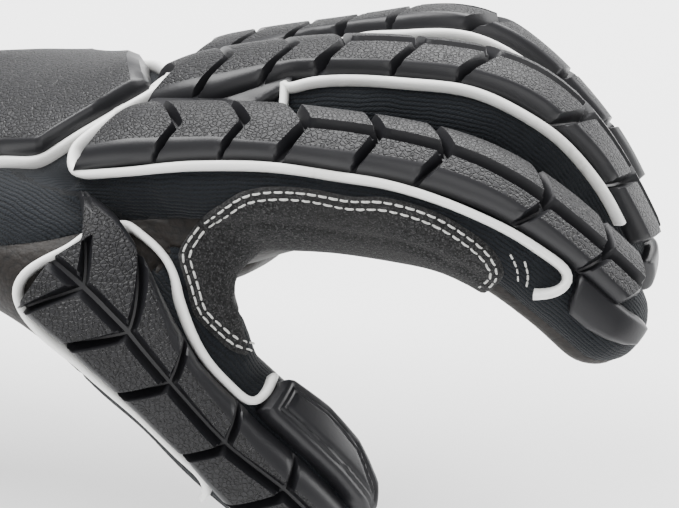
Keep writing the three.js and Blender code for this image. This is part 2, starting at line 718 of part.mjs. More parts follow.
// Patch over the web between thumb and index finger, outlined along the line of sight across it
const sight = new THREE.Vector3(0.174, -0.82, 0.545).normalize();
const across = new THREE.Vector3(0.978, 0.208, 0);
const axes = new THREE.Matrix4().makeBasis(across, new THREE.Vector3().crossVectors(sight, across), sight);
axes.setPosition(1.037 * palmLength, -0.355 * palmWidth, 0.41 * palmDepth);
const saddleOutline = [
  [-0.326, 0.086], [-0.27, 0.122], [-0.226, 0.147], [-0.148, 0.157], [-0.057, 0.15], [0.025, 0.133],
  [0.104, 0.131], [0.224, 0.096], [0.326, 0.035], [0.373, -0.014], [0.38, -0.06], [0.28, -0.12],
  [0.07, -0.08], [-0.1, -0.04], [-0.1, -0.3], [-0.15, -0.29], [-0.196, -0.255], [-0.26, -0.231],
  [-0.308, -0.187], [-0.347, -0.145], [-0.361, -0.09], [-0.375, -0.04], [-0.385, 0], [-0.373, 0.026],
].map(([x, y]) => [x * palmWidth, y * palmWidth]);
const saddle = layer(prism(saddleOutline, 0.09 * palmWidth, 0.7 * palmWidth, axes));
const indexRoom = bandSolid(index, [0.02, 0.16, 0.38, 0.5, 0.59, 0.66, 0.74, 0.84, 0.88]
  .map((at) => ({ at, near: nearLine + 10, other: -50 })));
const thumbRoom = bandSolid(thumb, [0.26, 0.34, 0.42, 0.5, 0.58, 0.64, 0.7, 0.76, 0.9].map((at) => {
  const row = thumbRow({ at });
  return { at, near: row.near + 2 * sideGap, other: row.other - 2 * sideGap };
}));
add("saddle_patch", saddle.subtract(indexRoom).subtract(thumbRoom), ...felt);

// Padding over the heel and the ball of the palm
const palmOutline = [
  [0.42, -0.26], [0.46, -0.32], [0.86, -0.34], [0.91, -0.28], [0.93, 0.28], [0.88, 0.34], [0.46, 0.34],
  [0.42, 0.28],
].map(([x, y]) => [x * palmLength, y * palmWidth]);
const palmZone = prism(palmOutline, -far, palmDepth * 0.2);
add("palm_pad", handSolid(seam + palmPadThickness, 16).intersect(palmZone).subtract(clearance), ...leather);

export default group;
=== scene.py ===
import math

import bpy
import numpy as np
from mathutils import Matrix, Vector
from mathutils.bvhtree import BVHTree


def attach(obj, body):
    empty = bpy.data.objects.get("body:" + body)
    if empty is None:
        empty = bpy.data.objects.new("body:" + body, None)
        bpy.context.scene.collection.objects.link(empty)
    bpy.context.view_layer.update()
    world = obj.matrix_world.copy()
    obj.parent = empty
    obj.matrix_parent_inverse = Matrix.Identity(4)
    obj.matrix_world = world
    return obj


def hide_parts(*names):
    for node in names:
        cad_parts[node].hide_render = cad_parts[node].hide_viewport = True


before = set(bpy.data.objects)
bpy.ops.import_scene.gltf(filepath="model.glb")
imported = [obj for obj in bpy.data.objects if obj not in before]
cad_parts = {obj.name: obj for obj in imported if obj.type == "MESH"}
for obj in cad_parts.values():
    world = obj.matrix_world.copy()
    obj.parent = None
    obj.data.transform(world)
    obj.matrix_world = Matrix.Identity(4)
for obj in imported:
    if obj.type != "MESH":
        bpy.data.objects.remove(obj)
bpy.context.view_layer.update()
scene = bpy.context.scene

# ---- chart of the glove: the hand from the cuff to the crotch, and five digits
hand = {"length": 162.0, "width": 93.0, "depth": 44.0}
glove = {"reach": 142.0, "width": hand["width"] * 0.26, "depth": hand["depth"] * 0.55,
         "thumb": hand["width"] * 0.34, "tip": 11.0, "round": 2.3}

# share of the length, then middle across, middle up, half width, top, bottom, roll
handRows = [
    (-0.05, 0, 0, 0.42, 0.455, 0.455, 0), (0, 0, 0, 0.42, 0.455, 0.455, 0),
    (0.11, 0, 0, 0.41, 0.43, 0.43, 0), (0.27, 0, 0.045, 0.37, 0.4, 0.41, 0),
    (0.38, 0.02, 0.16, 0.42, 0.465, 0.5, -2), (0.49, 0.01, 0.25, 0.45, 0.465, 0.52, -6),
    (0.62, -0.01, 0.35, 0.48, 0.445, 0.545, -12), (0.74, -0.01, 0.455, 0.495, 0.445, 0.57, -16),
    (0.865, 0, 0.52, 0.5, 0.445, 0.57, -16), (1, 0.01, 0.57, 0.485, 0.34, 0.43, -16),
]
# share of the reach, then half width, top, bottom
girths = {
    "finger": [(0, 0.3, 0.25, 0.3), (0.16, 0.5, 0.488, 0.51), (0.6, 0.5, 0.488, 0.51),
               (0.8, 0.485, 0.475, 0.44), (1, 0.465, 0.455, 0.41)],
    "index": [(0, 0.36, 0.32, 0.36), (0.12, 0.5, 0.488, 0.56), (0.55, 0.5, 0.488, 0.57),
              (0.68, 0.495, 0.488, 0.46), (0.8, 0.485, 0.475, 0.38), (1, 0.46, 0.455, 0.36)],
    "thumb": [(0, 0.35, 0.3, 0.4), (0.15, 0.505, 0.5, 0.57), (0.4, 0.505, 0.485, 0.54),
              (0.6, 0.475, 0.465, 0.5), (0.8, 0.485, 0.465, 0.48), (1, 0.47, 0.45, 0.46)],
}
# share of the reach, then pitch and yaw in degrees
bends = {
    "index": [(0, 6, 0), (0.28, 5, 0), (0.38, 1, 0), (0.5, -3, 0), (0.585, -11, 0),
              (0.68, -27, 0), (0.77, -37, 0), (0.86, -41, 0), (1, -43, 0)],
    "middle": [(0, 14, 0), (0.25, 13, 0), (0.37, 10, 0), (0.45, 4, 0), (0.55, -2, 0),
               (0.61, -14, 0), (0.67, -36, 0), (0.75, -53, 0), (0.84, -60, 0), (1, -66, 0)],
    "ring": [(0, 13, 0), (0.32, 14, 0), (0.42, 17, 0), (0.5, 15, 0), (0.55, 2, 0),
             (0.6, -26, 0), (0.68, -42, 0), (0.78, -50, 0), (0.87, -61, 0), (1, -68, 0)],
    "little": [(0, 8, 0), (0.38, 8, 0), (0.5, 4, 0), (0.6, -15, 0), (0.72, -38, 0),
               (0.85, -52, 0), (1, -62, 0)],
    "thumb": [(0, 15, -42), (0.15, 10, -40), (0.27, -8, -26), (0.37, -28, -17), (0.46, -43, -10),
              (0.62, -45, -3), (0.77, -45, 4), (0.88, -50, 10), (1, -56, 14)],
}


def along(rows, at):
    rows = np.asarray(rows, float)
    t, v = rows[:, 0], rows[:, 1:]
    slope = np.empty_like(v)
    slope[1:-1] = (v[2:] - v[:-2]) / (t[2:] - t[:-2])[:, None]
    slope[0] = (v[1] - v[0]) / (t[1] - t[0])
    slope[-1] = (v[-1] - v[-2]) / (t[-1] - t[-2])
    at = np.clip(np.asarray(at, float), t[0], t[-1])
    i = np.clip(np.searchsorted(t, at, side="right") - 1, 0, len(t) - 2)
    h = t[i + 1] - t[i]
    s = ((at - t[i]) / h)[..., None]
    h = h[..., None]
    return ((1 + 2 * s) * (1 - s) ** 2 * v[i] + s * (1 - s) ** 2 * h * slope[i]
            + s * s * (3 - 2 * s) * v[i + 1] + s * s * (s - 1) * h * slope[i + 1])


def straight(rows, at):
    rows = np.asarray(rows, float)
    return np.stack([np.interp(at, rows[:, 0], rows[:, k]) for k in range(1, rows.shape[1])], -1)


def unit(v):
    return v / np.maximum(np.linalg.norm(v, axis=-1, keepdims=True), 1e-9)


def dot(a, b):
    return (a * b).sum(-1)


def heading(turns, at):
    pitch, yaw = np.moveaxis(np.radians(along(turns, at)), -1, 0)
    return np.stack([np.cos(pitch) * np.cos(yaw), np.cos(pitch) * np.sin(yaw), np.sin(pitch)], -1)


def makeDigit(root, reach, width, depth, girth, turns, up):
    steps = 64
    start = np.array([root[0] * hand["length"], root[1] * hand["width"], root[2] * hand["depth"]])
    ahead = heading(turns, (np.arange(steps) + 0.5) / steps)
    path = np.vstack([start, start + np.cumsum(ahead * reach / steps, axis=0)])
    return {"reach": reach, "width": width, "depth": depth, "girth": girth, "turns": turns,
            "up": np.array(up), "path": path}


def makeFinger(root, reach, size, girth, turns, tilt):
    a = math.radians(tilt)
    return makeDigit(root, glove["reach"] * reach, glove["width"] * size, glove["depth"] * size,
                     girths[girth], bends[turns], (0, -math.sin(a), math.cos(a)))


sight = unit(np.array((0.174, -0.82, 0.545)))
digits = {
    "index": makeFinger((0.679, -0.392, 0.75), 0.958, 1, "index", "index", 17),
    "middle": makeFinger((0.691, -0.118, 0.695), 1, 1, "finger", "middle", 2),
    "ring": makeFinger((0.691, 0.148, 0.534), 0.965, 0.98, "finger", "ring", -13),
    "little": makeFinger((0.691, 0.4, 0.205), 0.79, 0.88, "finger", "little", -25),
    "thumb": makeDigit((0.475, -0.301, 0.318), glove["reach"] * 0.923, glove["thumb"],
                       glove["depth"] * 1.07, girths["thumb"], bends["thumb"], sight),
}


# Ahead, out of the back, toward the thumb, and the middle, at shares of a digit's reach
def frameAt(digit, at):
    at = np.asarray(at, float)
    ahead = unit(heading(digit["turns"], np.clip(at, 0, 1)))
    path = digit["path"]
    place = np.clip(at, 0, 1) * (len(path) - 1)
    i = np.minimum(place.astype(int), len(path) - 2)
    centre = path[i] + (path[i + 1] - path[i]) * (place - i)[..., None]
    out = unit(digit["up"] - ahead * (ahead @ digit["up"])[..., None])
    return ahead, out, np.cross(ahead, out), centre


def rounded(value):
    return np.sign(value) * np.abs(value) ** (2 / glove["round"])


def spread(*values):
    return np.broadcast_arrays(*[np.asarray(v, float) for v in values])


# Place on a digit: angle 0 is the middle of its back, positive toward the thumb side
def onDigit(digit, at, angle, lift):
    at, angle, lift = spread(at, angle, lift)
    ahead, out, side, centre = frameAt(digit, at)
    past = np.clip(((at - 1) * digit["reach"] + glove["tip"]) / glove["tip"], 0, 1)
    taper = np.sqrt(np.maximum(1 - past ** 2, 0))
    across = rounded(np.sin(np.radians(angle)))
    up = rounded(np.cos(np.radians(angle)))
    girth = along(digit["girth"], at)
    half = digit["width"] * girth[..., 0] + lift
    rise = digit["depth"] * np.where(up > 0, girth[..., 1], girth[..., 2]) + lift
    return (centre + side * (half * across * taper)[..., None]
            + out * (rise * up * taper)[..., None] + ahead * (lift * past)[..., None])


def handFrame(at):
    row = along(handRows, at)
    roll = np.radians(row[..., 5])
    out = np.stack([0 * roll, -np.sin(roll), np.cos(roll)], -1)
    side = np.stack([0 * roll, -np.cos(roll), -np.sin(roll)], -1)
    centre = np.stack([at * hand["length"], row[..., 0] * hand["width"], row[..., 1] * hand["depth"]], -1)
    return row, out, side, centre


def onHand(at, angle, lift):
    at, angle, lift = spread(at, angle, lift)
    row, out, side, centre = handFrame(at)
    up = rounded(np.cos(np.radians(angle)))
    rise = hand["depth"] * np.where(up > 0, row[..., 3], row[..., 4]) + lift
    half = hand["width"] * row[..., 2] + lift
    return (centre + side * (half * rounded(np.sin(np.radians(angle))))[..., None]
            + out * (rise * up)[..., None])


# ---- meshes
def makeObject(name, verts, faces):
    mesh = bpy.data.meshes.new(name)
    metres = np.asarray(verts, float) / 1000
    mesh.from_pydata(metres.tolist(), [], [tuple(int(i) for i in f) for f in faces])
    mesh.update()
    mesh.shade_smooth()
    thing = bpy.data.objects.new(name, mesh)
    scene.collection.objects.link(thing)
    return thing


def gridFaces(rows, columns, closed):
    i, j = np.meshgrid(np.arange(rows - 1), np.arange(columns if closed else columns - 1), indexing="ij")
    k = (j + 1) % columns
    quads = [i * columns + j, i * columns + k, (i + 1) * columns + k, (i + 1) * columns + j]
    return np.stack(quads, -1).reshape(-1, 4)


# Closed mesh through rings of points, an array of rows, points and coordinates
def tube(rings):
    rows, sides = rings.shape[:2]
    faces = gridFaces(rows, sides, True).tolist()
    faces += [list(range(sides))[::-1], [(rows - 1) * sides + j for j in range(sides)]]
    verts = rings.reshape(-1, 3)
    middle = rings[rows // 2].mean(0)
    a, b, c = (rings[rows // 2, 0], rings[rows // 2, 1], rings[rows // 2 + 1, 0])
    if np.dot(np.cross(b - a, c - a), a - middle) < 0:
        faces = [f[::-1] for f in faces]
    return verts, faces


def merged(parts):
    verts, faces, shift = [], [], 0
    for v, f in parts:
        verts.append(v)
        faces += [[i + shift for i in face] for face in f]
        shift += len(v)
    return np.vstack(verts), faces


def worked(thing, *modifiers):
    for kind, settings in modifiers:
        step = thing.modifiers.new(kind.lower(), kind)
        for key, value in settings.items():
            setattr(step, key, value)
    depsgraph = bpy.context.evaluated_depsgraph_get()
    mesh = bpy.data.meshes.new_from_object(thing.evaluated_get(depsgraph))
    thing.modifiers.clear()
    old = thing.data
    thing.data = mesh
    bpy.data.meshes.remove(old)
    mesh.name = thing.name
    return thing


# ---- skin of the glove: the hand, the web and the digits melted into one surface
print("stage: skin")
# share from the palm to the back, then edge and root as shares of the hand, and half the thickness
webRows = [
    (0, 0.957, -0.602, -0.09, 0.648, -0.505, 0.5, 0.227),
    (0.25, 0.932, -0.559, 0.16, 0.648, -0.462, 0.545, 0.205),
    (0.5, 0.907, -0.516, 0.386, 0.648, -0.419, 0.59, 0.205),
    (0.75, 0.938, -0.462, 0.545, 0.648, -0.387, 0.636, 0.227),
    (1, 1.019, -0.398, 0.705, 0.648, -0.355, 0.682, 0.227),
]
skinMesh = {"voxel": 1.3, "smooth": 6, "wall": 1.5}


def digitRings(digit, sides=44):
    tip = glove["tip"] / digit["reach"]
    shares = np.concatenate([np.linspace(0, 1 - tip, 60),
                             1 - tip * (1 - np.array((0.25, 0.45, 0.62, 0.76, 0.87, 0.95, 0.99)))])
    angles = np.arange(sides) * 360 / sides
    return onDigit(digit, shares[:, None], angles[None], 0)


def webRings(sides=36):
    size = np.array((hand["length"], hand["width"], hand["depth"]))
    row = along(webRows, np.linspace(0, 1, 17))
    edge, root = row[:, :3] * size, row[:, 3:6] * size
    reach = edge - root
    half = np.linalg.norm(reach, axis=1) / 2
    ahead = unit(reach)
    out = unit(np.cross(unit(edge[-1] - edge[0]), ahead))
    angle = np.radians(np.arange(sides) * 360 / sides)[None]
    wide = half[:, None] * rounded(np.sin(angle))
    thick = row[:, 6:7] * hand["depth"] * rounded(np.cos(angle))
    return ((edge + root) / 2)[:, None] + ahead[:, None] * wide[..., None] + out[:, None] * thick[..., None]


handRings = onHand(np.linspace(-0.05, 1, 70)[:, None], (np.arange(64) * 360 / 64)[None], 0)
body = makeObject("skinSource", *merged([tube(handRings), tube(webRings())]
                                        + [tube(digitRings(d)) for d in digits.values()]))
worked(body, ("REMESH", {"mode": "VOXEL", "voxel_size": skinMesh["voxel"] / 1000, "use_smooth_shade": True}),
       ("SMOOTH", {"factor": 0.5, "iterations": skinMesh["smooth"]}),
       ("TRIANGULATE", {}))


def meshArrays(mesh):
    verts = np.empty(len(mesh.vertices) * 3)
    mesh.vertices.foreach_get("co", verts)
    normals = np.empty(len(mesh.vertices) * 3)
    mesh.vertex_normals.foreach_get("vector", normals)
    faces = np.empty(len(mesh.polygons) * 3, int)
    mesh.polygons.foreach_get("vertices", faces)
    return verts.reshape(-1, 3) * 1000, normals.reshape(-1, 3), faces.reshape(-1, 3)


skinVerts, skinNormals, skinFaces = meshArrays(body.data)
bpy.data.objects.remove(body)
print("skin", len(skinVerts), len(skinFaces))


# Nearest share of a digit for many points, with their height, nearness and place in the knit
def seenFrom(digit, points):
    shares = np.linspace(0, 1, 140)
    ahead, out, side, centre = frameAt(digit, shares)
    nearest = np.concatenate([
        ((part[:, None] - centre[None]) ** 2).sum(-1).argmin(1) for part in np.array_split(points, 24)])
    offset = points - centre[nearest]
    girth = along(digit["girth"], shares[nearest])
    a, b = dot(offset, side[nearest]), dot(offset, out[nearest])
    half = digit["width"] * girth[:, 0]
    rise = digit["depth"] * np.where(b > 0, girth[:, 1], girth[:, 2])
    e = glove["round"]
    ring = (np.abs(a / half) ** e + np.abs(b / rise) ** e) ** (1 / e)
    beyond = np.abs(dot(offset, ahead[nearest])) / glove["tip"]
    return {"at": shares[nearest], "up": b, "ring": np.hypot(ring, beyond * 0.6),
            "length": shares[nearest] * digit["reach"] + 110, "round": np.arctan2(a, b) * 12}


def seenFromHand(points):
    at = points[:, 0] / hand["length"]
    row, out, side, centre = handFrame(np.clip(at, 0, 1))
    offset = points - centre
    a, b = dot(offset, side), dot(offset, out)
    half = hand["width"] * row[:, 2]
    rise = hand["depth"] * np.where(b > 0, row[:, 3], row[:, 4])
    e = 2.3
    ring = (np.abs(a / half) ** e + np.abs(b / rise) ** e) ** (1 / e)
    line = np.interp(at, (-0.1, 0.38, 0.7, 1.1), (0, 0.1, 0.42, 0.62)) * hand["depth"]
    tilt = math.radians(12)
    up = points[:, 1] * math.sin(tilt) + points[:, 2] * math.cos(tilt) - line
    return {"at": at, "up": up, "ring": ring + np.maximum(at - 1, 0) * 12, "length": points[:, 0],
            "round": np.arctan2(a, b) * 33}


views = {name: seenFrom(digit, skinVerts) for name, digit in digits.items()}
views["hand"] = seenFromHand(skinVerts)
names = list(views)
owner = np.array([views[n]["ring"] for n in names]).argmin(0)


def pick(key, choice):
    return np.choose(choice, [views[n][key] for n in names])


def ease(value, low, high):
    t = np.clip((value - low) / (high - low), 0, 1)
    return t * t * (3 - 2 * t)


# above zero on the knit back, below zero on the leather palm
fingerOwner = np.array([views[n]["ring"] for n in names[:4]]).argmin(0)
fingerUp = np.choose(fingerOwner, [views[n]["up"] for n in names[:4]])
share = ease(skinVerts[:, 0], 150, 176)
knitSide = views["hand"]["up"] * (1 - share) + fingerUp * share
onThumb = ease(views["thumb"]["at"], 0.36, 0.48) * (1 - ease(views["thumb"]["ring"], 1.25, 1.7))
onThumb = onThumb * (views["thumb"]["ring"] < np.choose(fingerOwner, [views[n]["ring"] for n in names[:4]]))
knitSide = knitSide * (1 - onThumb) + views["thumb"]["up"] * onThumb
weave = np.stack([pick("length", owner), pick("round", owner)], -1)

# Folds in the knit on the side of the hand, each a run of places and a height
folds = [
    ([(0.46, 70), (0.57, 73), (0.65, 80), (0.76, 87)], 0.9, 3.2),
    ([(0.6, 88), (0.7, 93), (0.8, 96)], 0.7, 3),
    ([(0.5, 60), (0.6, 63), (0.68, 62)], 0.5, 2.4),
    ([(0.3, 60), (0.36, 76), (0.4, 96)], 0.8, 4),
    ([(0.25, 20), (0.31, 0), (0.33, -40)], 0.6, 4),
    ([(0.2, 120), (0.27, 100), (0.31, 70)], 0.7, 4),
]


def runDistance(points, run):
    best = np.full(len(points), 1e9)
    for a, b in zip(run[:-1], run[1:]):
        t = np.clip(dot(points - a, b - a) / max(dot(b - a, b - a), 1e-9), 0, 1)
        best = np.minimum(best, np.linalg.norm(points - a - t[:, None] * (b - a), axis=1))
    return best


worn = {"waves": 26, "wave": 0.05, "seam": 0.55, "seam width": 1.1}
push = np.zeros(len(skinVerts))
for places, height, width in folds:
    run = onHand(np.array([p[0] for p in places]), np.array([p[1] for p in places]), 0)
    gap = runDistance(skinVerts, run)
    push += height * np.exp(-(gap / width) ** 2) - height * 0.6 * np.exp(-((gap - 1.9 * width) / width) ** 2)
rng = np.random.default_rng(7)
for _ in range(worn["waves"]):  # soft unevenness of worn cloth
    direction = unit(rng.normal(size=3))
    push += worn["wave"] * np.sin(skinVerts @ direction * rng.uniform(0.12, 0.4) + rng.uniform(0, 6.28))
push -= worn["seam"] * np.exp(-(knitSide / worn["seam width"]) ** 2)  # the sewn seam sits in a small valley
skinVerts = skinVerts + skinNormals * push[:, None]
skinTree = BVHTree.FromPolygons(skinVerts.tolist(), skinFaces.tolist())
skinTable = np.hstack([skinVerts, skinNormals, weave])


# Only the points that the faces use
def compact(table, faces):
    used = np.unique(faces)
    place = np.full(len(table), -1)
    place[used] = np.arange(len(used))
    return table[used], place[faces]


# Part of a triangle mesh where the field is above zero, cut exactly along its zero line
def clipped(table, faces, field):
    field = np.where(np.abs(field) < 1e-5, 1e-5, field)
    inside = field[faces] > 0
    count = inside.sum(1)
    kept = faces[count == 3].tolist()
    data = np.column_stack([table, field])
    extra, known = [], {}

    def cut(a, b):
        key = (a, b) if a < b else (b, a)
        if key not in known:
            t = field[key[0]] / (field[key[0]] - field[key[1]])
            known[key] = len(data) + len(extra)
            extra.append(data[key[0]] + t * (data[key[1]] - data[key[0]]))
        return known[key]

    for face in faces[(count > 0) & (count < 3)].tolist():
        ring = []
        for a, b in zip(face, face[1:] + face[:1]):
            if field[a] > 0:
                ring.append(a)
            if (field[a] > 0) != (field[b] > 0):
                ring.append(cut(a, b))
        kept += [[ring[0], ring[k], ring[k + 1]] for k in range(1, len(ring) - 1)]
    return compact(np.vstack([data, extra]) if extra else data, np.array(kept))


# Largest connected part of a mesh
def largest(table, faces):
    mark = np.arange(len(table))
    while True:
        low = mark[faces].min(1)
        new = mark.copy()
        for k in range(3):
            np.minimum.at(new, faces[:, k], low)
        new = new[new]
        if (new == mark).all():
            break
        mark = new
    labels, counts = np.unique(mark[faces[:, 0]], return_counts=True)
    return compact(table, faces[mark[faces[:, 0]] == labels[counts.argmax()]])


def rimEdges(faces):
    edges = np.vstack([faces[:, [0, 1]], faces[:, [1, 2]], faces[:, [2, 0]]])
    keys = np.sort(edges, 1)
    _, first, counts = np.unique(keys, axis=0, return_index=True, return_counts=True)
    return edges[first[counts == 1]]


def setVectors(thing, name, values):
    values = np.column_stack([values, np.zeros(len(values))]) if values.shape[1] == 2 else values
    layer = thing.data.attributes.new(name, "FLOAT_VECTOR", "POINT")
    layer.data.foreach_set("vector", np.ascontiguousarray(values, float).ravel())


def setValues(thing, name, values, domain="POINT"):
    layer = thing.data.attributes.new(name, "FLOAT", domain)
    layer.data.foreach_set("value", np.ascontiguousarray(values, float))


# Closed layer over part of the skin, from under the skin to a height that rounds off at its edge
def skinLayer(name, field, thick, edge, under=0.5, power=2.0):
    table, faces = largest(*clipped(skinTable, skinFaces, field))
    depth = np.clip(table[:, -1] / edge, 0, 1)
    rise = thick * (1 - (1 - depth) ** power) ** (1 / power)
    top = table[:, :3] + table[:, 3:6] * rise[:, None]
    bottom = table[:, :3] - table[:, 3:6] * under
    count = len(top)
    rim = rimEdges(faces)
    sides = np.stack([rim[:, 1], rim[:, 0], rim[:, 0] + count, rim[:, 1] + count], -1)
    every = faces.tolist() + (faces[:, ::-1] + count).tolist() + sides.tolist()
    thing = makeObject(name, np.vstack([top, bottom]), every)
    setVectors(thing, "weave", np.vstack([table[:, 6:8]] * 2))
    return thing


def shellPiece(name, field):
    table, faces = clipped(skinTable, skinFaces, field)
    thing = makeObject(name, table[:, :3], faces)
    setVectors(thing, "weave", table[:, 6:8])
    setValues(thing, "seamGap", table[:, -1])
    return worked(thing, ("SOLIDIFY", {"thickness": skinMesh["wall"] / 1000, "offset": -1,
                                       "use_even_offset": False, "use_quality_normals": True}))


pastCuff = skinVerts[:, 0] - 0.6
knitShell = shellPiece("knit_shell", np.minimum(knitSide, pastCuff))
leatherShell = shellPiece("leather_shell", np.minimum(-knitSide, pastCuff))
print("shells", len(knitShell.data.polygons), len(leatherShell.data.polygons))


# ---- places on the skin
def nearestSpot(point):
    hit, normal, _, _ = skinTree.find_nearest(Vector(point))
    return np.array(hit), np.array(normal)


# Where a line back toward the skin meets it, or else the nearest place
def dropped(point, out, start=6.0, reach=24.0):
    hit, normal, _, _ = skinTree.ray_cast(Vector(point + out * start), Vector(-out), reach)
    return nearestSpot(point) if hit is None else (np.array(hit), np.array(normal))


def digitSpot(name, at, angle):
    digit = digits[name]
    point = onDigit(digit, at, angle, 0)
    return dropped(point, unit(onDigit(digit, at, angle, 1) - point))


# Place on the back of the hand nearest to a point above it
def backSpot(x, y, above=70.0):
    return nearestSpot(np.array((x * hand["length"], y * hand["width"], above)))


def handSpot(at, angle):
    point = onHand(at, angle, 0)
    return dropped(point, unit(onHand(at, angle, 1) - point))


# Even, rounded run through a few points
def softRun(points, step, closed=False):
    points = np.asarray(points, float)
    if closed:
        points = np.vstack([points[-2:], points, points[:3]])
    lengths = np.concatenate([[0], np.cumsum(np.linalg.norm(np.diff(points, axis=0), axis=1))])
    rows = np.column_stack([lengths, points])
    low, high = (lengths[2], lengths[-3]) if closed else (0, lengths[-1])
    count = max(int(round((high - low) / step)), 2)
    at = np.linspace(low, high, count + 1)
    return along(rows, at[:-1] if closed else at)


def smoothed(values, rounds, closed=False):
    values = values.copy()
    for _ in range(rounds):
        if closed:
            values = (np.roll(values, 1, 0) + 2 * values + np.roll(values, -1, 0)) / 4
        else:
            values[1:-1] = (values[:-2] + 2 * values[1:-1] + values[2:]) / 4
    return values


# Run of points laid on the skin, with the skin's direction at each
def laidRun(spots, step=1.2, closed=False, rounds=6):
    centre = softRun([p for p, _ in spots], step, closed)
    outs = unit(softRun([p + 4 * n for p, n in spots], step, closed)[:len(centre)] - centre)
    found = [dropped(p, n, 5.0) for p, n in zip(centre, outs)]
    points = smoothed(np.array([f[0] for f in found]), rounds, closed)
    normals = unit(smoothed(np.array([f[1] for f in found]), rounds * 4, closed))
    return points, normals


lineShape = {"half": 0.92, "top": 2.7, "foot": -1.0}


# Rounded line swept along a run
def linePart(points, normals, closed=False):
    if closed:
        ahead = unit(np.roll(points, -1, 0) - np.roll(points, 1, 0))
    else:
        ahead = unit(np.gradient(points, axis=0))
    side = unit(np.cross(ahead, normals))
    half, top, foot = lineShape.values()
    rise = [(0.92, foot), (1, top - 1.1), (0.86, top - 0.45), (0.5, top - 0.08)]
    section = [(-s, h) for s, h in rise] + [(0, top)] + rise[::-1]
    rings = np.stack([points + side * half * s + normals * h for s, h in section], 1)
    if not closed:
        return tube(rings)
    verts, faces = tube(np.vstack([rings, rings[:1]]))
    size = rings.shape[0] * rings.shape[1]
    return verts[:size], [[i % size for i in f] for f in faces[:-2]]


# ---- moulded rubber: blocks that point to the tip on both sides of a groove
print("stage: rubber")
# share of the reach, then near edge, near ridge, groove, far ridge, far edge, all in degrees
strips = {
    "index": {"lift": 4.8, "slant": 0.00102, "rows": [
        (0.06, 28, 8, -3, -44, -58), (0.2, 24, 7, -4, -46, -58), (0.27, 21, 6, -6, -46, -56),
        (0.33, 20, 8, -9, -42, -47), (0.45, 22, 9, -10, -38, -42), (0.59, 25, 8, -8, -38, -42),
        (0.66, 25, 8, -7, -38, -42), (0.77, 20, 7, -7, -38, -42), (0.83, 17, 7, -8, -38, -42),
        (1, 17, 7, -9, -38, -42)],
        "lead": (0.0013, -0.0012), "chevrons": [0.035, 0.183, 0.293, 0.384],
        "blocks": [0.384, 0.498, 0.592, 0.729, 0.844, 0.93]},
    "middle": {"lift": 4.8, "slant": 0.00102, "rows": [
        (0.1, 46, 22, 0, -44, -58), (0.25, 46, 18, -2, -46, -58), (0.31, 34, 14, -6, -44, -50),
        (0.36, 22, 12, -8, -42, -46), (0.45, 23, 14, -12, -38, -42), (0.6, 23, 12, -14, -38, -42),
        (0.7, 26, 14, -14, -38, -42), (0.78, 20, 10, -14, -38, -42), (1, 20, 10, -14, -38, -42)],
        "chevrons": [0.11, 0.214, 0.32, 0.4], "blocks": [0.4, 0.505, 0.6, 0.715, 0.82, 0.93]},
    "ring": {"lift": 4.8, "slant": 0.00102, "rows": [
        (0.1, 46, 22, 0, -44, -58), (0.28, 46, 18, -2, -46, -58), (0.36, 20, 10, -8, -42, -48),
        (0.45, 18, 9, -12, -38, -42), (0.52, 24, 12, -12, -38, -42), (1, 22, 10, -12, -38, -42)],
        "chevrons": [0.13, 0.22, 0.32, 0.41], "blocks": [0.41, 0.505, 0.6, 0.715, 0.82, 0.93]},
    "little": {"lift": 4.6, "slant": 0.00102, "rows": [
        (0.2, 50, 24, 0, -34, -40), (0.33, 44, 18, -2, -34, -40), (0.4, 20, 9, -9, -34, -38),
        (1, 20, 9, -9, -34, -38)],
        "chevrons": [0.21, 0.31, 0.4], "blocks": [0.4, 0.5, 0.6, 0.72, 0.83, 0.93]},
    "thumb": {"lift": 4.8, "slant": 0.00135, "rows": [
        (0.3, 34, 24, -2, -22, -44), (0.34, 40, 27, -1, -36, -56), (0.375, 42, 30, 0, -46, -70),
        (0.42, 43, 32, 1, -44, -68), (0.455, 43, 31, 1, -34, -50), (0.49, 43, 31, 2, -20, -37),
        (0.53, 42, 29, 3, -11, -28), (0.6, 41, 29, 5, -7, -19), (0.66, 41, 30, 7, -5, -18),
        (0.71, 40, 30, 8, -3, -18), (0.75, 44, 32, 7, -1, -16), (0.82, 50, 34, 5, 0, -16),
        (1, 50, 34, 5, -2, -16)],
        "lead": (0.0001, -0.0009), "chevrons": [],
        "blocks": [0.318, 0.373, 0.456, 0.559, 0.696, 0.822, 0.95]},
}
bevel = {"row": 1.0, "floor": 0.28, "groove": 0.85, "base": 1.1, "row step": 1.4, "foot": -1.0}


def rowStops(strip, reach):
    stops = []
    for bounds, groove in ((strip["chevrons"], 0.0), (strip["blocks"], 1.0)):
        for a, b in zip(bounds[:-1], bounds[1:]):
            f, w = bevel["floor"] / reach, bevel["row"] / reach
            inner = np.linspace(a + f + w, b - f - w, max(int((b - a) * reach / bevel["row step"]), 3))
            stops += [(a + f, 0.0, groove), (a + f + w * 0.5, 0.62, groove)]
            stops += [(s, 1.0, groove) for s in inner]
            stops += [(b - f - w * 0.5, 0.62, groove), (b - f, 0.0, groove)]
    return np.array(stops)


# Degrees round a digit for each millimetre of its skin
def degreesEach(digit):
    return math.degrees(1 / (digit["width"] / 2))


# Faces turned so that they look away from the foot under them
def outwardFaces(points, foot, faces):
    outward = np.cross(points[3, 6] - points[3, 5], points[4, 5] - points[3, 5])
    return faces[:, ::-1] if np.dot(outward, points[3, 5] - foot[3, 5]) > 0 else faces


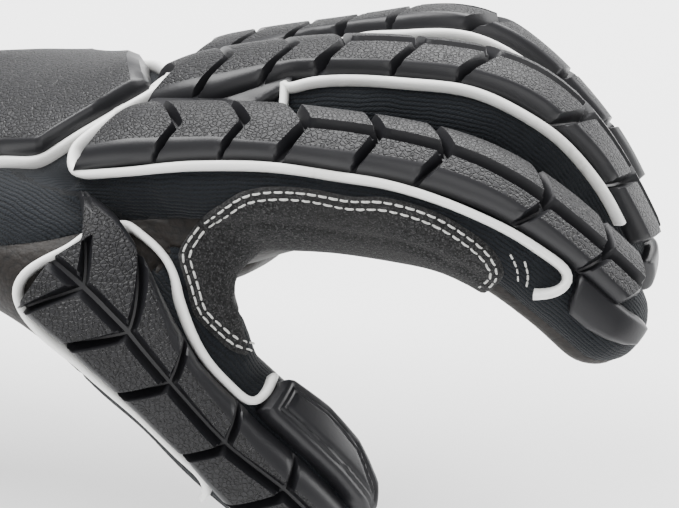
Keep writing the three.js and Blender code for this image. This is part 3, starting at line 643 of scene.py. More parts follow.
# Closed solid between a grid of points and the grid of their feet, the top faces first
def closedGrid(points, foot):
    rows, columns = points.shape[:2]
    size = rows * columns
    faces = gridFaces(rows, columns, False)
    rim = list(range(columns)) + [i * columns + columns - 1 for i in range(1, rows)]
    rim += [size - 1 - i for i in range(1, columns)] + [i * columns for i in range(rows - 2, 0, -1)]
    rim = np.array(rim)
    after = np.roll(rim, -1)
    sides = np.stack([rim, after, after + size, rim + size], -1)
    every = outwardFaces(points, foot, np.vstack([faces[:, ::-1], faces + size, sides]))
    return np.vstack([points.reshape(-1, 3), foot.reshape(-1, 3)]), every.tolist(), faces


# Blocks of one strip, with a mark on each face of their flat tops
def stripPart(name, strip):
    digit = digits[name]
    stops = rowStops(strip, digit["reach"])
    s, rowHeight, groove = stops.T
    near, nearRidge, middle, farRidge, far = straight(strip["rows"], s).T
    degree = degreesEach(digit)
    g = bevel["groove"] * degree
    f = bevel["floor"] * degree
    lines, heights, cuts = [], [], []

    def station(angles, height, inGroove=0.0):
        lines.append(angles)
        heights.append(height)
        cuts.append(inGroove)

    for t in np.linspace(0, 1, 7):  # the near side falls in a wide rounded slope
        station(near + (nearRidge - near) * t, 1 - (1 - t) ** 1.7)
    for t in np.linspace(0.16, 1, 6):
        station(nearRidge + (middle + f + g - nearRidge) * t, 1.0)
    for edge, cut in ((f + g * 0.5, 0.4), (f, 1.0), (-f, 1.0), (-f - g * 0.5, 0.4), (-f - g, 0.0)):
        station(middle + edge, 1.0, cut)
    for t in np.linspace(0.12, 1, 9):
        station(middle - f - g + (farRidge - middle + f + g) * t, 1.0)
    for t in np.linspace(0.33, 1, 3):
        station(farRidge + (far - farRidge) * t, 1 - t ** 1.7)
    angle = np.stack(lines, 1)
    across = np.array(heights)[None] * (1 - groove[:, None] * np.array(cuts)[None])
    height = np.minimum(across, rowHeight[:, None])
    slant = strip["slant"] * np.where(groove > 0, 1.0, 1.3)[:, None] * np.ones(angle.shape)
    if "lead" in strip:  # the first edge runs the other way past the groove
        ends = (strip["chevrons"] or strip["blocks"])[:2]
        first = ease(s, *ends)[:, None]
        lead = np.where(angle < middle[:, None], strip["lead"][1], strip["lead"][0])
        slant = lead * (1 - first) + slant * first
    at = s[:, None] - slant * np.abs(angle - middle[:, None])
    lift = bevel["base"] + (strip["lift"] - bevel["base"]) * height
    fade = ease(at, 0.9, 0.99)
    points = onDigit(digit, at, angle, lift * (1 - 0.5 * fade))
    foot = onDigit(digit, at, angle, bevel["foot"])
    # a frame of points under the skin closes the sides, and a bottom grid closes the solid
    top, bottom = [np.pad(grid, ((1, 1), (1, 1), (0, 0)), mode="edge") for grid in (points, foot)]
    top[0], top[-1], top[:, 0], top[:, -1] = bottom[0], bottom[-1], bottom[:, 0], bottom[:, -1]
    rows, columns = top.shape[:2]
    faces = gridFaces(rows, columns, False)
    tread = np.pad(height > 0.999, 1).reshape(-1)[faces].all(1).astype(float)
    verts = np.vstack([top.reshape(-1, 3), bottom.reshape(-1, 3)])
    every = outwardFaces(points, foot, np.vstack([faces[:, ::-1], faces + rows * columns]))
    return verts, every.tolist(), np.concatenate([tread, np.zeros(len(faces))])


def joinParts(name, parts):
    verts, faces = merged([(v, f) for v, f, _ in parts])
    thing = makeObject(name, verts, faces)
    setValues(thing, "tread", np.concatenate([t for _, _, t in parts]), "FACE")
    return thing


plateShape = {"rim": 1.6, "base": 1.0, "step": 0.14, "step width": 0.42}


# Smooth plate on a digit between two edges, with a rounded rim and step lines at distances inside it
def platePart(name, table, lift, steps=(), rows=44, columns=26):
    digit = digits[name]
    s = np.linspace(table[0][0], table[-1][0], rows)
    a, b = straight(table, s).T
    t = np.linspace(0, 1, columns)
    angle = a[:, None] + (b - a)[:, None] * t[None]
    at = np.repeat(s[:, None], columns, 1)
    edge = np.minimum(np.abs(angle - a[:, None]), np.abs(angle - b[:, None])) / degreesEach(digit)
    edge = np.minimum(edge, np.minimum(at - s[0], s[-1] - at) * digit["reach"])
    height = 1 - (1 - np.clip(edge / plateShape["rim"], 0, 1)) ** 2
    for place in steps:
        height = height - plateShape["step"] * np.exp(-((edge - place) / plateShape["step width"]) ** 2)
    base = plateShape["base"]
    points = onDigit(digit, at, angle, base + (lift - base) * height)
    verts, faces, _ = closedGrid(points, onDigit(digit, at, angle, bevel["foot"]))
    return verts, faces, np.zeros(len(faces))


fingerParts = [stripPart(n, strips[n]) for n in ("index", "middle", "ring", "little")]
indexCap = [(0.826, 16, 20), (0.84, 14, 46), (0.852, 13, 57), (0.89, 12, 57), (0.925, 10, 51),
            (0.955, 4, 42), (0.975, 0, 30)]
fingerCap = [(0.93, 18, -34), (0.985, 12, -28)]
tipCaps = [platePart("index", indexCap, lift=2.3)]
tipCaps += [platePart(n, fingerCap, lift=2.6) for n in ("middle", "ring", "little")]


# Distance inside an outline, below zero outside it
def insideBy(points, outline):
    outline = np.asarray(outline, float)
    best = runDistance(points, np.vstack([outline, outline[:1]]))
    inside = np.zeros(len(points), bool)
    for a, b in zip(outline, np.roll(outline, -1, 0)):
        crosses = (a[1] > points[:, 1]) != (b[1] > points[:, 1])
        slope = np.where(b[1] == a[1], 1e-9, b[1] - a[1])
        inside ^= crosses & (points[:, 0] < (b[0] - a[0]) * (points[:, 1] - a[1]) / slope + a[0])
    return np.where(inside, best, -best)


def outlineRun(points, step=2.0):
    return softRun(points, step, closed=True)


backEdge = [(0.7, -0.42), (0.725, -0.28), (0.765, -0.1), (0.785, 0.08), (0.8, 0.25), (0.815, 0.37)]
plateOutline = [(x + 0.004, y) for x, y in backEdge] + [
    (0.95, 0.37), (0.965, 0.34), (0.935, 0.3), (0.935, 0.25), (0.96, 0.2), (0.96, 0.07), (0.93, 0.03),
    (0.93, -0.02), (0.955, -0.06), (0.955, -0.2), (0.905, -0.24), (0.905, -0.28), (0.955, -0.33),
    (0.955, -0.42)]
handPlan = np.array((hand["length"], hand["width"]))
fromAbove = skinVerts[:, :2]
plateField = np.minimum(insideBy(fromAbove, np.array(plateOutline) * handPlan),
                        (skinNormals[:, 2] - 0.15) * 20)
knuckleShape = {"thick": 1.9, "edge": 1.2}
knucklePlate = skinLayer("knuckle_plate", plateField, **knuckleShape)
plateVerts, _, plateFaces = meshArrays(worked(knucklePlate, ("TRIANGULATE", {})).data)
platePiece = (plateVerts, plateFaces.tolist(), np.zeros(len(plateFaces)))
bpy.data.objects.remove(knucklePlate)
handGuard = joinParts("hand_guard_moulding", fingerParts + tipCaps + [platePiece])

thumbCap = [(0.70, -24, -60), (0.72, -21, -68), (0.8, -20, -74), (0.87, -20, -68), (0.93, -18, -50),
            (0.96, -14, -30)]
thumbParts = [stripPart("thumb", strips["thumb"])]
thumbParts += [platePart("thumb", thumbCap, lift=4.2, steps=(3.0, 4.2), rows=60, columns=40)]
thumbGuard = joinParts("thumb_guard_moulding", thumbParts)

# Pad over the back of the hand: near foot, near top, crest, far top, far foot, height
padRows = [
    (0.35, 48, 42, 18, -12, -20, 0.05), (0.356, 48, 42, 18, -12, -20, 0.75), (0.364, 48, 41, 18, -12, -20, 1),
    (0.45, 49, 42, 20, -12, -20, 1), (0.549, 50, 43, 19, -12, -20, 1), (0.606, 52.5, 46, 15, -13, -20, 1),
    (0.616, 52, 45.4, 15, -13, -20, 1), (0.63, 49, 42.5, 13, -13, -20, 1),
    (0.68, 39.5, 34.5, 11.5, -11, -17, 1), (0.722, 27.5, 23.5, 10, -8, -14, 1),
    (0.734, 24, 21, 10, -7, -13, 0.75), (0.744, 21, 19, 9, -6, -12, 0.05)]
padShape = {"height": 8.0, "near": 0.8, "far": 0.72, "base": 1.3, "first": 5, "last": 27}


def padPart():
    s = np.array(sorted(set([r[0] for r in padRows]) | set(np.round(np.linspace(0.364, 0.722, 52), 4))))
    near, nearTop, crest, farTop, far, high = straight(padRows, s).T
    stations = [(near + (nearTop - near) * t, padShape["near"] * (1 - (1 - t) ** 1.5))
                for t in np.linspace(0, 1, 6)]
    for t in np.linspace(0.1, 1, 12):
        rise = padShape["near"] + (1 - padShape["near"]) * math.sin(t * math.pi / 2)
        stations.append((nearTop + (crest - nearTop) * t, rise))
    for t in np.linspace(0.12, 1, 9):
        stations.append((crest + (farTop - crest) * t, 1 - (1 - padShape["far"]) * t * t))
    for t in np.linspace(0.25, 1, 4):
        stations.append((farTop + (far - farTop) * t, padShape["far"] * (1 - t ** 1.4)))
    angle = np.stack([a for a, _ in stations], 1)
    share = np.array([h for _, h in stations])[None] * high[:, None]
    turn = 0.0021 * ease(s, 0.56, 0.74)[:, None]
    at = s[:, None] + turn * (angle - near[:, None])
    lift = padShape["base"] + (padShape["height"] - padShape["base"]) * share
    verts, every, top = closedGrid(onHand(at, angle, lift), onHand(at, angle, bevel["foot"]))
    mark = np.zeros(share.shape)
    mark[:, padShape["first"]:padShape["last"]] = (high > 0.99)[:, None]
    tread = (mark.reshape(-1)[top].min(1) > 0.5).astype(float)
    return verts, every, np.concatenate([tread, np.zeros(len(every) - len(top))])


backPad = joinParts("back_pad_moulding", [padPart()])

# ---- white edge lines
print("stage: edge lines")
# near side of each finger: share of the reach and degrees
nearAt = {
    "index": [(0.109, 33), (0.219, 27), (0.3, 25.6), (0.38, 26.5), (0.449, 28), (0.515, 28.7),
              (0.592, 31.7), (0.656, 31.4), (0.708, 28), (0.769, 25), (0.812, 23.6)],
    "middle": [(0.34, 30), (0.396, 27.5), (0.491, 29), (0.582, 28), (0.649, 32), (0.7, 29), (0.777, 25),
               (0.85, 25)],
    "ring": [(0.37, 27), (0.43, 22), (0.492, 29), (0.575, 29), (0.7, 28), (0.84, 26)],
    "little": [(0.4, 27), (0.5, 26), (0.6, 26), (0.7, 26), (0.84, 26)],
}


def digitRun(name, places):
    return [digitSpot(name, *p) for p in places]


# Far side of a finger, from the knuckle to the cap
def farRun(name, low=0.38):
    return digitRun(name, [(at, -47) for at in np.linspace(low, 0.82, 8)])


lines = []
indexSide = digitRun("index", [(0.79, 66), (0.8, 60), (0.809, 53), (0.819, 42), (0.82, 33)])
indexSide += digitRun("index", nearAt["index"][::-1] + [(0.04, 35), (0.008, 33)])
indexSide += [handSpot(*p) for p in ((0.668, 55), (0.69, 45.5), (0.716, 28.4), (0.741, 21))]
lines.append(linePart(*laidRun(indexSide)))
backRun = [handSpot(0.741, 21), handSpot(0.758, 13.5)] + [backSpot(*p) for p in backEdge[3:]]
backRun += [digitSpot("little", 0.2, -46)] + farRun("little", 0.26)
lines.append(linePart(*laidRun(backRun)))
for left, right, x, y in (("index", "middle", 0.925, -0.255), ("middle", "ring", 0.95, 0.01),
                          ("ring", "little", 0.955, 0.275)):
    run = farRun(left)[::-1] + [digitSpot(left, 0.335, -47), backSpot(x - 0.01, y)]
    run += digitRun(right, [(0.31, 37)] + nearAt[right])
    lines.append(linePart(*laidRun(run)))
thumbRun = digitRun("thumb", [
    (0.752, 76), (0.745, 62), (0.73, 50), (0.71, 45.5), (0.666, 47), (0.6, 47), (0.53, 47), (0.44, 50),
    (0.362, 51), (0.32, 42), (0.3, 30), (0.3, 15), (0.314, 0), (0.331, -16), (0.338, -36), (0.349, -57),
    (0.362, -76), (0.385, -84), (0.412, -77), (0.44, -62), (0.471, -47), (0.518, -33), (0.572, -25.5),
    (0.634, -24), (0.682, -25), (0.694, -36), (0.694, -52), (0.69, -66)])
lines.append(linePart(*laidRun(thumbRun, rounds=4)))
padLoop = [(r[0], r[1] + 3.4) for r in padRows[1:-1]] + [(0.757, 18), (0.752, 10)]
padLoop += [(0.715, -2), (0.68, -12), (0.64, -20), (0.56, -24), (0.45, -24), (0.36, -24), (0.342, -14),
            (0.34, 10), (0.341, 35), (0.344, 47)]
lines.append(linePart(*laidRun([handSpot(*p) for p in padLoop], closed=True), closed=True))
edgeLines = makeObject("edge_lines", *merged(lines))

# ---- felt patch over the web, outlined along the line of sight
print("stage: cloth pieces")
acrossAxis = np.array((0.978, 0.208, 0))
upAxis = np.cross(sight, acrossAxis)
saddleCentre = np.array((1.037 * hand["length"], -0.355 * hand["width"], 0.41 * hand["depth"]))
saddleOutline = np.array([
    (-0.326, 0.086), (-0.27, 0.122), (-0.226, 0.147), (-0.148, 0.157), (-0.057, 0.15), (0.025, 0.133),
    (0.104, 0.131), (0.224, 0.096), (0.326, 0.035), (0.373, -0.014), (0.38, -0.06), (0.28, -0.12),
    (0.07, -0.08), (-0.1, -0.04), (-0.1, -0.3), (-0.15, -0.29), (-0.196, -0.255), (-0.26, -0.231),
    (-0.308, -0.187), (-0.347, -0.145), (-0.361, -0.09), (-0.375, -0.04), (-0.385, 0), (-0.373, 0.026),
]) * hand["width"]
offset = skinVerts - saddleCentre
seen = np.stack([offset @ acrossAxis, offset @ upAxis], -1)
saddleField = np.minimum(insideBy(seen, outlineRun(saddleOutline)), offset @ sight - 0.09 * hand["width"])
saddleField = np.minimum(saddleField, (skinNormals @ sight + 0.35) * 8)
feltShape = {"thick": 1.15, "edge": 0.9}
saddlePatch = skinLayer("saddle_patch_felt", saddleField, **feltShape)

palmOutline = [(0.42, -0.26), (0.46, -0.32), (0.86, -0.34), (0.91, -0.28), (0.93, 0.28), (0.88, 0.34),
               (0.46, 0.34), (0.42, 0.28)]
palmField = np.minimum(insideBy(fromAbove, outlineRun(np.array(palmOutline) * handPlan)),
                       (-skinNormals[:, 2] - 0.1) * 30)
palmField = np.minimum(palmField, 0.3 * hand["depth"] - skinVerts[:, 2])
palmShape = {"thick": 3.2, "edge": 9, "power": 1.6}
palmPad = skinLayer("palm_pad_leather", palmField, **palmShape)

# Cuff binding: its section as places along the cuff and lifts off the skin, folded round the rim
bindingRing = [(8.2, -0.4), (8.2, 0.5), (7.8, 1.0), (7, 1.25), (5, 1.35), (3, 1.35), (1, 1.25), (0, 0.9),
               (-0.5, 0.2), (-0.6, -0.8), (-0.3, -1.8), (0.5, -2.4), (2, -2.6), (6, -2.6), (7.6, -2.3),
               (8.2, -1.5)]
around = 220
angles = np.arange(around) * 360 / around
rings = np.stack([onHand(x / hand["length"], angles, lift) for x, lift in bindingRing], 1)
bindingFaces = gridFaces(around + 1, len(bindingRing), True) % (around * len(bindingRing))
binding = makeObject("cuff_binding_leather", rings.reshape(-1, 3), bindingFaces)

# ---- nodes
def makeNode(tree, kind, settings=None, inputs=None):
    node = tree.nodes.new(kind)
    for key, value in (settings or {}).items():
        setattr(node, key, value)
    for key, value in (inputs or {}).items():
        if isinstance(value, bpy.types.NodeSocket):
            tree.links.new(value, node.inputs[key])
        else:
            node.inputs[key].default_value = value
    return node


def sums(tree, kind, a, b=0.0):
    return makeNode(tree, "ShaderNodeMath", {"operation": kind}, {0: a, 1: b}).outputs[0]


def times(tree, a, b):
    return sums(tree, "MULTIPLY", a, b)


def plus(tree, a, b):
    return sums(tree, "ADD", a, b)


def ranged(tree, value, low, high, toLow=0.0, toHigh=1.0):
    node = makeNode(tree, "ShaderNodeMapRange", {"interpolation_type": "SMOOTHSTEP"},
                    {"Value": value, "From Min": low, "From Max": high, "To Min": toLow, "To Max": toHigh})
    return node.outputs[0]


def noise(tree, vector, scale, detail=3.0, rough=0.5):
    node = makeNode(tree, "ShaderNodeTexNoise", {},
                    {"Vector": vector, "Scale": scale, "Detail": detail, "Roughness": rough})
    return node.outputs["Fac"]


def cells(tree, vector, scale, feature="F1", amount=1.0):
    node = makeNode(tree, "ShaderNodeTexVoronoi", {"feature": feature},
                    {"Vector": vector, "Scale": scale, "Randomness": amount})
    return node.outputs["Distance"]


# ---- stitches: points with directions, turned into thread by one node tree
print("stage: stitches")


def stitchTree():
    tree = bpy.data.node_groups.new("stitchRow", "GeometryNodeTree")
    for label, kind in (("Geometry", "Geometry"), ("Length", "Float"), ("Thickness", "Float"),
                        ("Seed", "Int"), ("Thread", "Material")):
        tree.interface.new_socket(label, in_out="INPUT", socket_type="NodeSocket" + kind)
    tree.interface.new_socket("Geometry", in_out="OUTPUT", socket_type="NodeSocketGeometry")
    given = makeNode(tree, "NodeGroupInput").outputs

    def corner(x, z):
        spot = {"X": times(tree, given["Length"], x), "Z": times(tree, given["Thickness"], z)}
        return makeNode(tree, "ShaderNodeCombineXYZ", {}, spot).outputs[0]

    def turned(settings, name, inputs):
        kind = {"data_type": "FLOAT_VECTOR"}
        stored = makeNode(tree, "GeometryNodeInputNamedAttribute", kind, {"Name": name}).outputs["Attribute"]
        inputs = {**inputs, "Vector": stored}
        return makeNode(tree, "FunctionNodeAlignRotationToVector", settings, inputs).outputs[0]

    # a short arc of thread that dips into the cloth at both ends
    ends = {"Start": corner(-0.5, -0.55), "Middle": corner(0.0, 0.95), "End": corner(0.5, -0.55)}
    arc = makeNode(tree, "GeometryNodeCurveQuadraticBezier", {}, {"Resolution": 5, **ends})
    ring = makeNode(tree, "GeometryNodeCurvePrimitiveCircle", {},
                    {"Resolution": 6, "Radius": times(tree, given["Thickness"], 0.5)})
    thread = makeNode(tree, "GeometryNodeCurveToMesh", {},
                      {"Curve": arc.outputs[0], "Profile Curve": ring.outputs[0], "Fill Caps": True})
    turn = turned({"axis": "X"}, "ahead", {})
    turn = turned({"axis": "Z", "pivot_axis": "X"}, "outward", {"Rotation": turn})
    vary = makeNode(tree, "FunctionNodeRandomValue", {"data_type": "FLOAT_VECTOR"},
                    {"Min": (0.86, 0.9, 0.85), "Max": (1.06, 1.1, 1.1), "Seed": given["Seed"]})
    copies = makeNode(tree, "GeometryNodeInstanceOnPoints", {}, {
        "Points": given["Geometry"], "Instance": thread.outputs[0],
        "Rotation": turn, "Scale": vary.outputs[0]})
    whole = makeNode(tree, "GeometryNodeRealizeInstances", {}, {0: copies.outputs[0]})
    paint = makeNode(tree, "GeometryNodeSetMaterial", {},
                     {"Geometry": whole.outputs[0], "Material": given["Thread"]})
    makeNode(tree, "NodeGroupOutput", {}, {0: paint.outputs[0]})
    return tree


stitchNodes = stitchTree()


# Even places along a run, each with its direction and the way out of the cloth
def stitchPlaces(points, normals, sewing, closed=False):
    data = np.column_stack([points, normals])
    data = np.vstack([data, data[:1]]) if closed else data
    lengths = np.concatenate([[0], np.cumsum(np.linalg.norm(np.diff(data[:, :3], axis=0), axis=1))])
    count = max(int(lengths[-1] / sewing["pitch"]), 1)
    at = (np.arange(count) + 0.5) * lengths[-1] / count
    rows = np.column_stack([lengths, data])
    spot = straight(rows, at)
    ahead = straight(rows, at + 0.6)[:, :3] - straight(rows, at - 0.6)[:, :3]
    outward = unit(spot[:, 3:])
    return spot[:, :3] + outward * sewing["lift"], unit(ahead), outward


def stitchPiece(name, rows, thread, sewing):
    points, ahead, outward = [np.vstack(values) for values in zip(*rows)]
    thing = makeObject(name, points, [])
    setVectors(thing, "ahead", ahead)
    setVectors(thing, "outward", outward)
    step = thing.modifiers.new("stitches", "NODES")
    step.node_group = stitchNodes
    chosen = {"Length": sewing["length"] / 1000, "Thickness": sewing["thick"] / 1000,
              "Seed": sewing["seed"], "Thread": thread}
    for item in stitchNodes.interface.items_tree:
        if item.in_out == "INPUT" and item.name in chosen:
            step[item.identifier] = chosen[item.name]
    thing = worked(thing)
    thing.data.shade_smooth()
    return thing


# ---- materials
print("stage: materials")


# Shader group with named inputs, whose outputs are what build returns
def makeGroup(name, inputs, outputs, build):
    tree = bpy.data.node_groups.new(name, "ShaderNodeTree")
    for label, value in inputs.items():
        kind = "NodeSocketVector" if value is None else "NodeSocketFloat"
        socket = tree.interface.new_socket(label, in_out="INPUT", socket_type=kind)
        if value is not None:
            socket.default_value = value
    for label in outputs:
        tree.interface.new_socket(label, in_out="OUTPUT", socket_type="NodeSocketFloat")
    given = makeNode(tree, "NodeGroupInput").outputs
    made = tree.nodes.new("NodeGroupOutput").inputs
    for label, value in zip(outputs, build(tree, given)):
        tree.links.new(value, made[label])
    return tree


# Broad patches of dust and small rubbed spots
def wearPatches(tree, given):
    broad = ranged(tree, noise(tree, given["Vector"], 38.0, 4.0, 0.6), 0.48, 0.72)
    fine = ranged(tree, noise(tree, given["Vector"], 420.0, 2.0), 0.5, 0.75)
    return times(tree, broad, given["Amount"]), times(tree, times(tree, broad, fine), given["Amount"])


# Ribs that run along the digits with a slight waver, and loops across them; the second output is painted
# shade, darker in the valleys between ribs and loops and lighter on their ridges, with some random fuzz
def knitWeave(tree, given):
    split = makeNode(tree, "ShaderNodeSeparateXYZ", {}, {0: given["Weave"]}).outputs
    waver = times(tree, noise(tree, given["Vector"], 160.0, 2.0), 1.5)
    across = sums(tree, "DIVIDE", plus(tree, split["Y"], waver), given["Rib"])

    def ridges(value):
        return sums(tree, "ABSOLUTE", sums(tree, "SINE", times(tree, value, math.pi)))

    lean = times(tree, sums(tree, "PINGPONG", across, 0.5), 1.4)
    loops = ridges(plus(tree, sums(tree, "DIVIDE", split["X"], given["Loop"]), lean))
    height = plus(tree, sums(tree, "POWER", ridges(across), 0.7), times(tree, loops, 0.45))
    height = plus(tree, height, times(tree, noise(tree, given["Vector"], 2600.0, 2.0), 0.35))
    return height, ranged(tree, height, 0.4, 1.7)


# Small rounded islands with a maze of furrows between them; the second output is painted shade that darkens
# the furrows
def treadIslands(tree, given):
    bent = makeNode(tree, "ShaderNodeTexNoise", {}, {"Vector": given["Vector"], "Scale": 700.0})
    shift = makeNode(tree, "ShaderNodeVectorMath", {"operation": "SCALE"},
                     {0: bent.outputs["Color"], "Scale": 0.0006})
    moved = makeNode(tree, "ShaderNodeVectorMath", {"operation": "ADD"},
                     {0: given["Vector"], 1: shift.outputs[0]})
    edge = cells(tree, moved.outputs[0], given["Scale"], "DISTANCE_TO_EDGE", 0.85)
    island = ranged(tree, edge, 0.02, given["Furrow"])
    return island, sums(tree, "SUBTRACT", 1.0, island)


# Creases between pebbled cells at two sizes; the second output is painted shade that darkens the big creases
def leatherGrain(tree, given):
    big = cells(tree, given["Vector"], given["Scale"])
    small = cells(tree, given["Vector"], 1900.0)
    height = plus(tree, times(tree, big, -0.8), times(tree, small, -0.3))
    height = plus(tree, height, noise(tree, given["Vector"], 120.0, 4.0, 0.6))
    return height, ranged(tree, big, 0.45, 0.8)


groups = {
    "wear": makeGroup("wearPatches", {"Vector": None, "Amount": 0.5}, ("Dust", "Rub"), wearPatches),
    "knit": makeGroup("knitWeave", {"Weave": None, "Vector": None, "Rib": 0.95, "Loop": 0.8},
                      ("Height", "PaintedShade"), knitWeave),
    "tread": makeGroup("treadIslands", {"Vector": None, "Scale": 1000.0, "Furrow": 0.16},
                       ("Height", "PaintedFurrowShade"), treadIslands),
    "grain": makeGroup("leatherGrain", {"Vector": None, "Scale": 700.0}, ("Height", "PaintedCreaseShade"), leatherGrain),
}


def attribute(tree, name, output="Vector"):
    return makeNode(tree, "ShaderNodeAttribute", {"attribute_name": name}).outputs[output]


def useGroup(tree, name, **inputs):
    return makeNode(tree, "ShaderNodeGroup", {"node_tree": groups[name]}, inputs).outputs


def mixed(tree, factor, a, b):
    colours = [value if isinstance(value, bpy.types.NodeSocket) else (*value, 1.0) for value in (a, b)]
    node = makeNode(tree, "ShaderNodeMix", {"data_type": "RGBA"}, {0: factor, 6: colours[0], 7: colours[1]})
    return node.outputs[2]


def startMaterial(name, settings):
    material = bpy.data.materials.new(name)
    material.use_nodes = True
    tree = material.node_tree
    shader = tree.nodes["Principled BSDF"]
    for key, value in settings.items():
        shader.inputs[key].default_value = value
    return material, tree, shader, makeNode(tree, "ShaderNodeTexCoord").outputs["Object"]


# Material whose look gives its colour, roughness, height, and the bump's strength and distance
def makeMaterial(name, sheen, specular, wearAmount, look):
    settings = {"Sheen Weight": sheen, "Specular IOR Level": specular}
    material, tree, shader, place = startMaterial(name, settings)
    wear = useGroup(tree, "wear", Vector=place, Amount=wearAmount)
    colour, rough, height, strength, distance = look(tree, place, wear)
    bump = makeNode(tree, "ShaderNodeBump", {},
                    {"Height": height, "Strength": strength, "Distance": distance})
    for key, value in (("Base Color", colour), ("Roughness", rough), ("Normal", bump.outputs[0])):
        tree.links.new(value, shader.inputs[key])
    return material


def knitLook(tree, place, wear):
    cloth = useGroup(tree, "knit", Weave=attribute(tree, "weave"), Vector=place)
    # painted shade: the knit colour is darker in the weave's low valleys and lighter on its ridges
    base = mixed(tree, cloth["PaintedShade"], (0.0012, 0.0017, 0.0024), (0.006, 0.008, 0.011))
    colour = mixed(tree, wear["Dust"], base, (0.009, 0.011, 0.0135))
    return colour, ranged(tree, wear["Rub"], 0.0, 1.0, 0.86, 0.7), cloth["Height"], 0.75, 0.0003


def leatherLook(tree, place, wear):
    grain = useGroup(tree, "grain", Vector=place, Scale=720.0)
    # painted shade: the leather colour is darker in the creases of its grain
    base = mixed(tree, grain["PaintedCreaseShade"], (0.0075, 0.0054, 0.0042), (0.0027, 0.002, 0.0016))
    colour = mixed(tree, wear["Dust"], base, (0.0125, 0.0096, 0.0075))
    return colour, ranged(tree, wear["Rub"], 0.0, 1.0, 0.6, 0.42), grain["Height"], 0.55, 0.00025


def rubberLook(tree, place, wear):
    tread = useGroup(tree, "tread", Vector=place, Scale=920.0, Furrow=0.2)
    mark = attribute(tree, "tread", "Fac")  # 1 on the flat tops, 0 on the slopes
    # painted shade: the furrows between tread islands on the flat tops are painted darker
    base = mixed(tree, times(tree, tread["PaintedFurrowShade"], mark), (0.0095, 0.0095, 0.0112), (0.003, 0.003, 0.0035))
    colour = mixed(tree, wear["Dust"], base, (0.016, 0.016, 0.0175))
    rough = plus(tree, times(tree, mark, 0.14), ranged(tree, wear["Rub"], 0.0, 1.0, 0.4, 0.52))
    fine = times(tree, noise(tree, place, 1500.0, 2.0), 0.08)
    return colour, rough, plus(tree, times(tree, tread["Height"], mark), fine), 0.9, 0.0003


def lineLook(tree, place, wear):
    base = mixed(tree, wear["Dust"], (0.83, 0.83, 0.81), (0.7, 0.69, 0.66))
    colour = mixed(tree, wear["Rub"], base, (0.5, 0.49, 0.47))
    rough = ranged(tree, wear["Dust"], 0.0, 1.0, 0.42, 0.6)
    return colour, rough, noise(tree, place, 900.0, 3.0), 0.12, 0.0002


def feltLook(tree, place, wear):
    fibre = noise(tree, place, 1500.0, 4.0, 0.7)
    speck = ranged(tree, noise(tree, place, 2300.0, 1.0), 0.56, 0.68)
    base = mixed(tree, ranged(tree, fibre, 0.35, 0.68), (0.007, 0.007, 0.0073), (0.026, 0.026, 0.0265))
    base = mixed(tree, times(tree, speck, 0.6), base, (0.075, 0.075, 0.075))
    colour = mixed(tree, wear["Dust"], base, (0.024, 0.0237, 0.0233))
    return colour, ranged(tree, wear["Rub"], 0.0, 1.0, 0.97, 0.88), fibre, 0.8, 0.0005


def threadLook(light, dark):
    def look(tree, place, wear):
        twist = noise(tree, place, 2600.0, 2.0)
        base = mixed(tree, ranged(tree, twist, 0.35, 0.65), dark, light)
        colour = mixed(tree, wear["Dust"], base, dark)
        return colour, ranged(tree, wear["Rub"], 0.0, 1.0, 0.75, 0.9), twist, 0.5, 0.0002

    return look


# name, sheen, specular level, wear, look
knit = makeMaterial("knit navy black", 0.05, 0.2, 0.6, knitLook)
leather = makeMaterial("leather brown black", 0.0, 0.3, 0.7, leatherLook)
rubber = makeMaterial("moulded rubber", 0.0, 0.35, 0.5, rubberLook)
line = makeMaterial("white moulded edge", 0.0, 0.4, 0.6, lineLook)
felt = makeMaterial("heather felt", 0.06, 0.15, 0.5, feltLook)
whiteLook = threadLook((0.62, 0.62, 0.6), (0.4, 0.4, 0.38))
darkLook = threadLook((0.05, 0.05, 0.052), (0.018, 0.018, 0.019))
whiteThread = makeMaterial("white thread", 0.2, 0.3, 0.6, whiteLook)
darkThread = makeMaterial("dark thread", 0.2, 0.3, 0.6, darkLook)


def painted(thing, material):
    thing.data.materials.clear()
    thing.data.materials.append(material)
    return thing


# Stitch rows round the felt, a steady distance inside its edge
def seenSpots(outline):
    spots = []
    for x, y in outline:
        point = saddleCentre + acrossAxis * x + upAxis * y
        hit, normal, _, _ = skinTree.ray_cast(Vector(point + sight * 120), Vector(-sight), 260)
        spots.append((np.array(hit), np.array(normal)) if hit is not None else None)
    return spots


def insetOutline(outline, inset):
    loop = outlineRun(outline, 1.5)
    ahead = unit(np.roll(loop, -1, 0) - np.roll(loop, 1, 0))
    inward = np.stack([ahead[:, 1], -ahead[:, 0]], -1)
    return loop + inward * inset


saddleSewing = {"insets": (1.0, 2.4), "pitch": 2.4, "lift": 1.25, "length": 1.8, "thick": 0.5, "seed": 3}
saddleRows = []
for inset in saddleSewing["insets"]:
    run = []
    for spot in seenSpots(insetOutline(saddleOutline, inset)) + [None]:
        if spot is not None and (not run or np.linalg.norm(spot[0] - run[-1][0]) < 6):
            run.append(spot)
            continue
        if len(run) > 8:
            points = smoothed(np.array([p for p, _ in run]), 3)
            normals = unit(smoothed(np.array([n for _, n in run]), 8))
            saddleRows.append(stitchPlaces(points, normals, saddleSewing))
        run = [spot] if spot is not None else []
saddleStitches = stitchPiece("saddle_stitches", saddleRows, whiteThread, saddleSewing)

columnSewing = {"pitch": 1.5, "lift": 0.15, "length": 1.15, "thick": 0.45, "seed": 5}
columnRows = []
for column in ([(0.72, 48), (0.745, 58), (0.76, 70)], [(0.745, 45), (0.765, 56), (0.775, 68)]):
    points, normals = laidRun(digitRun("index", column), 0.6)
    columnRows.append(stitchPlaces(points, normals, columnSewing))
indexStitches = stitchPiece("index_stitches", columnRows, whiteThread, columnSewing)

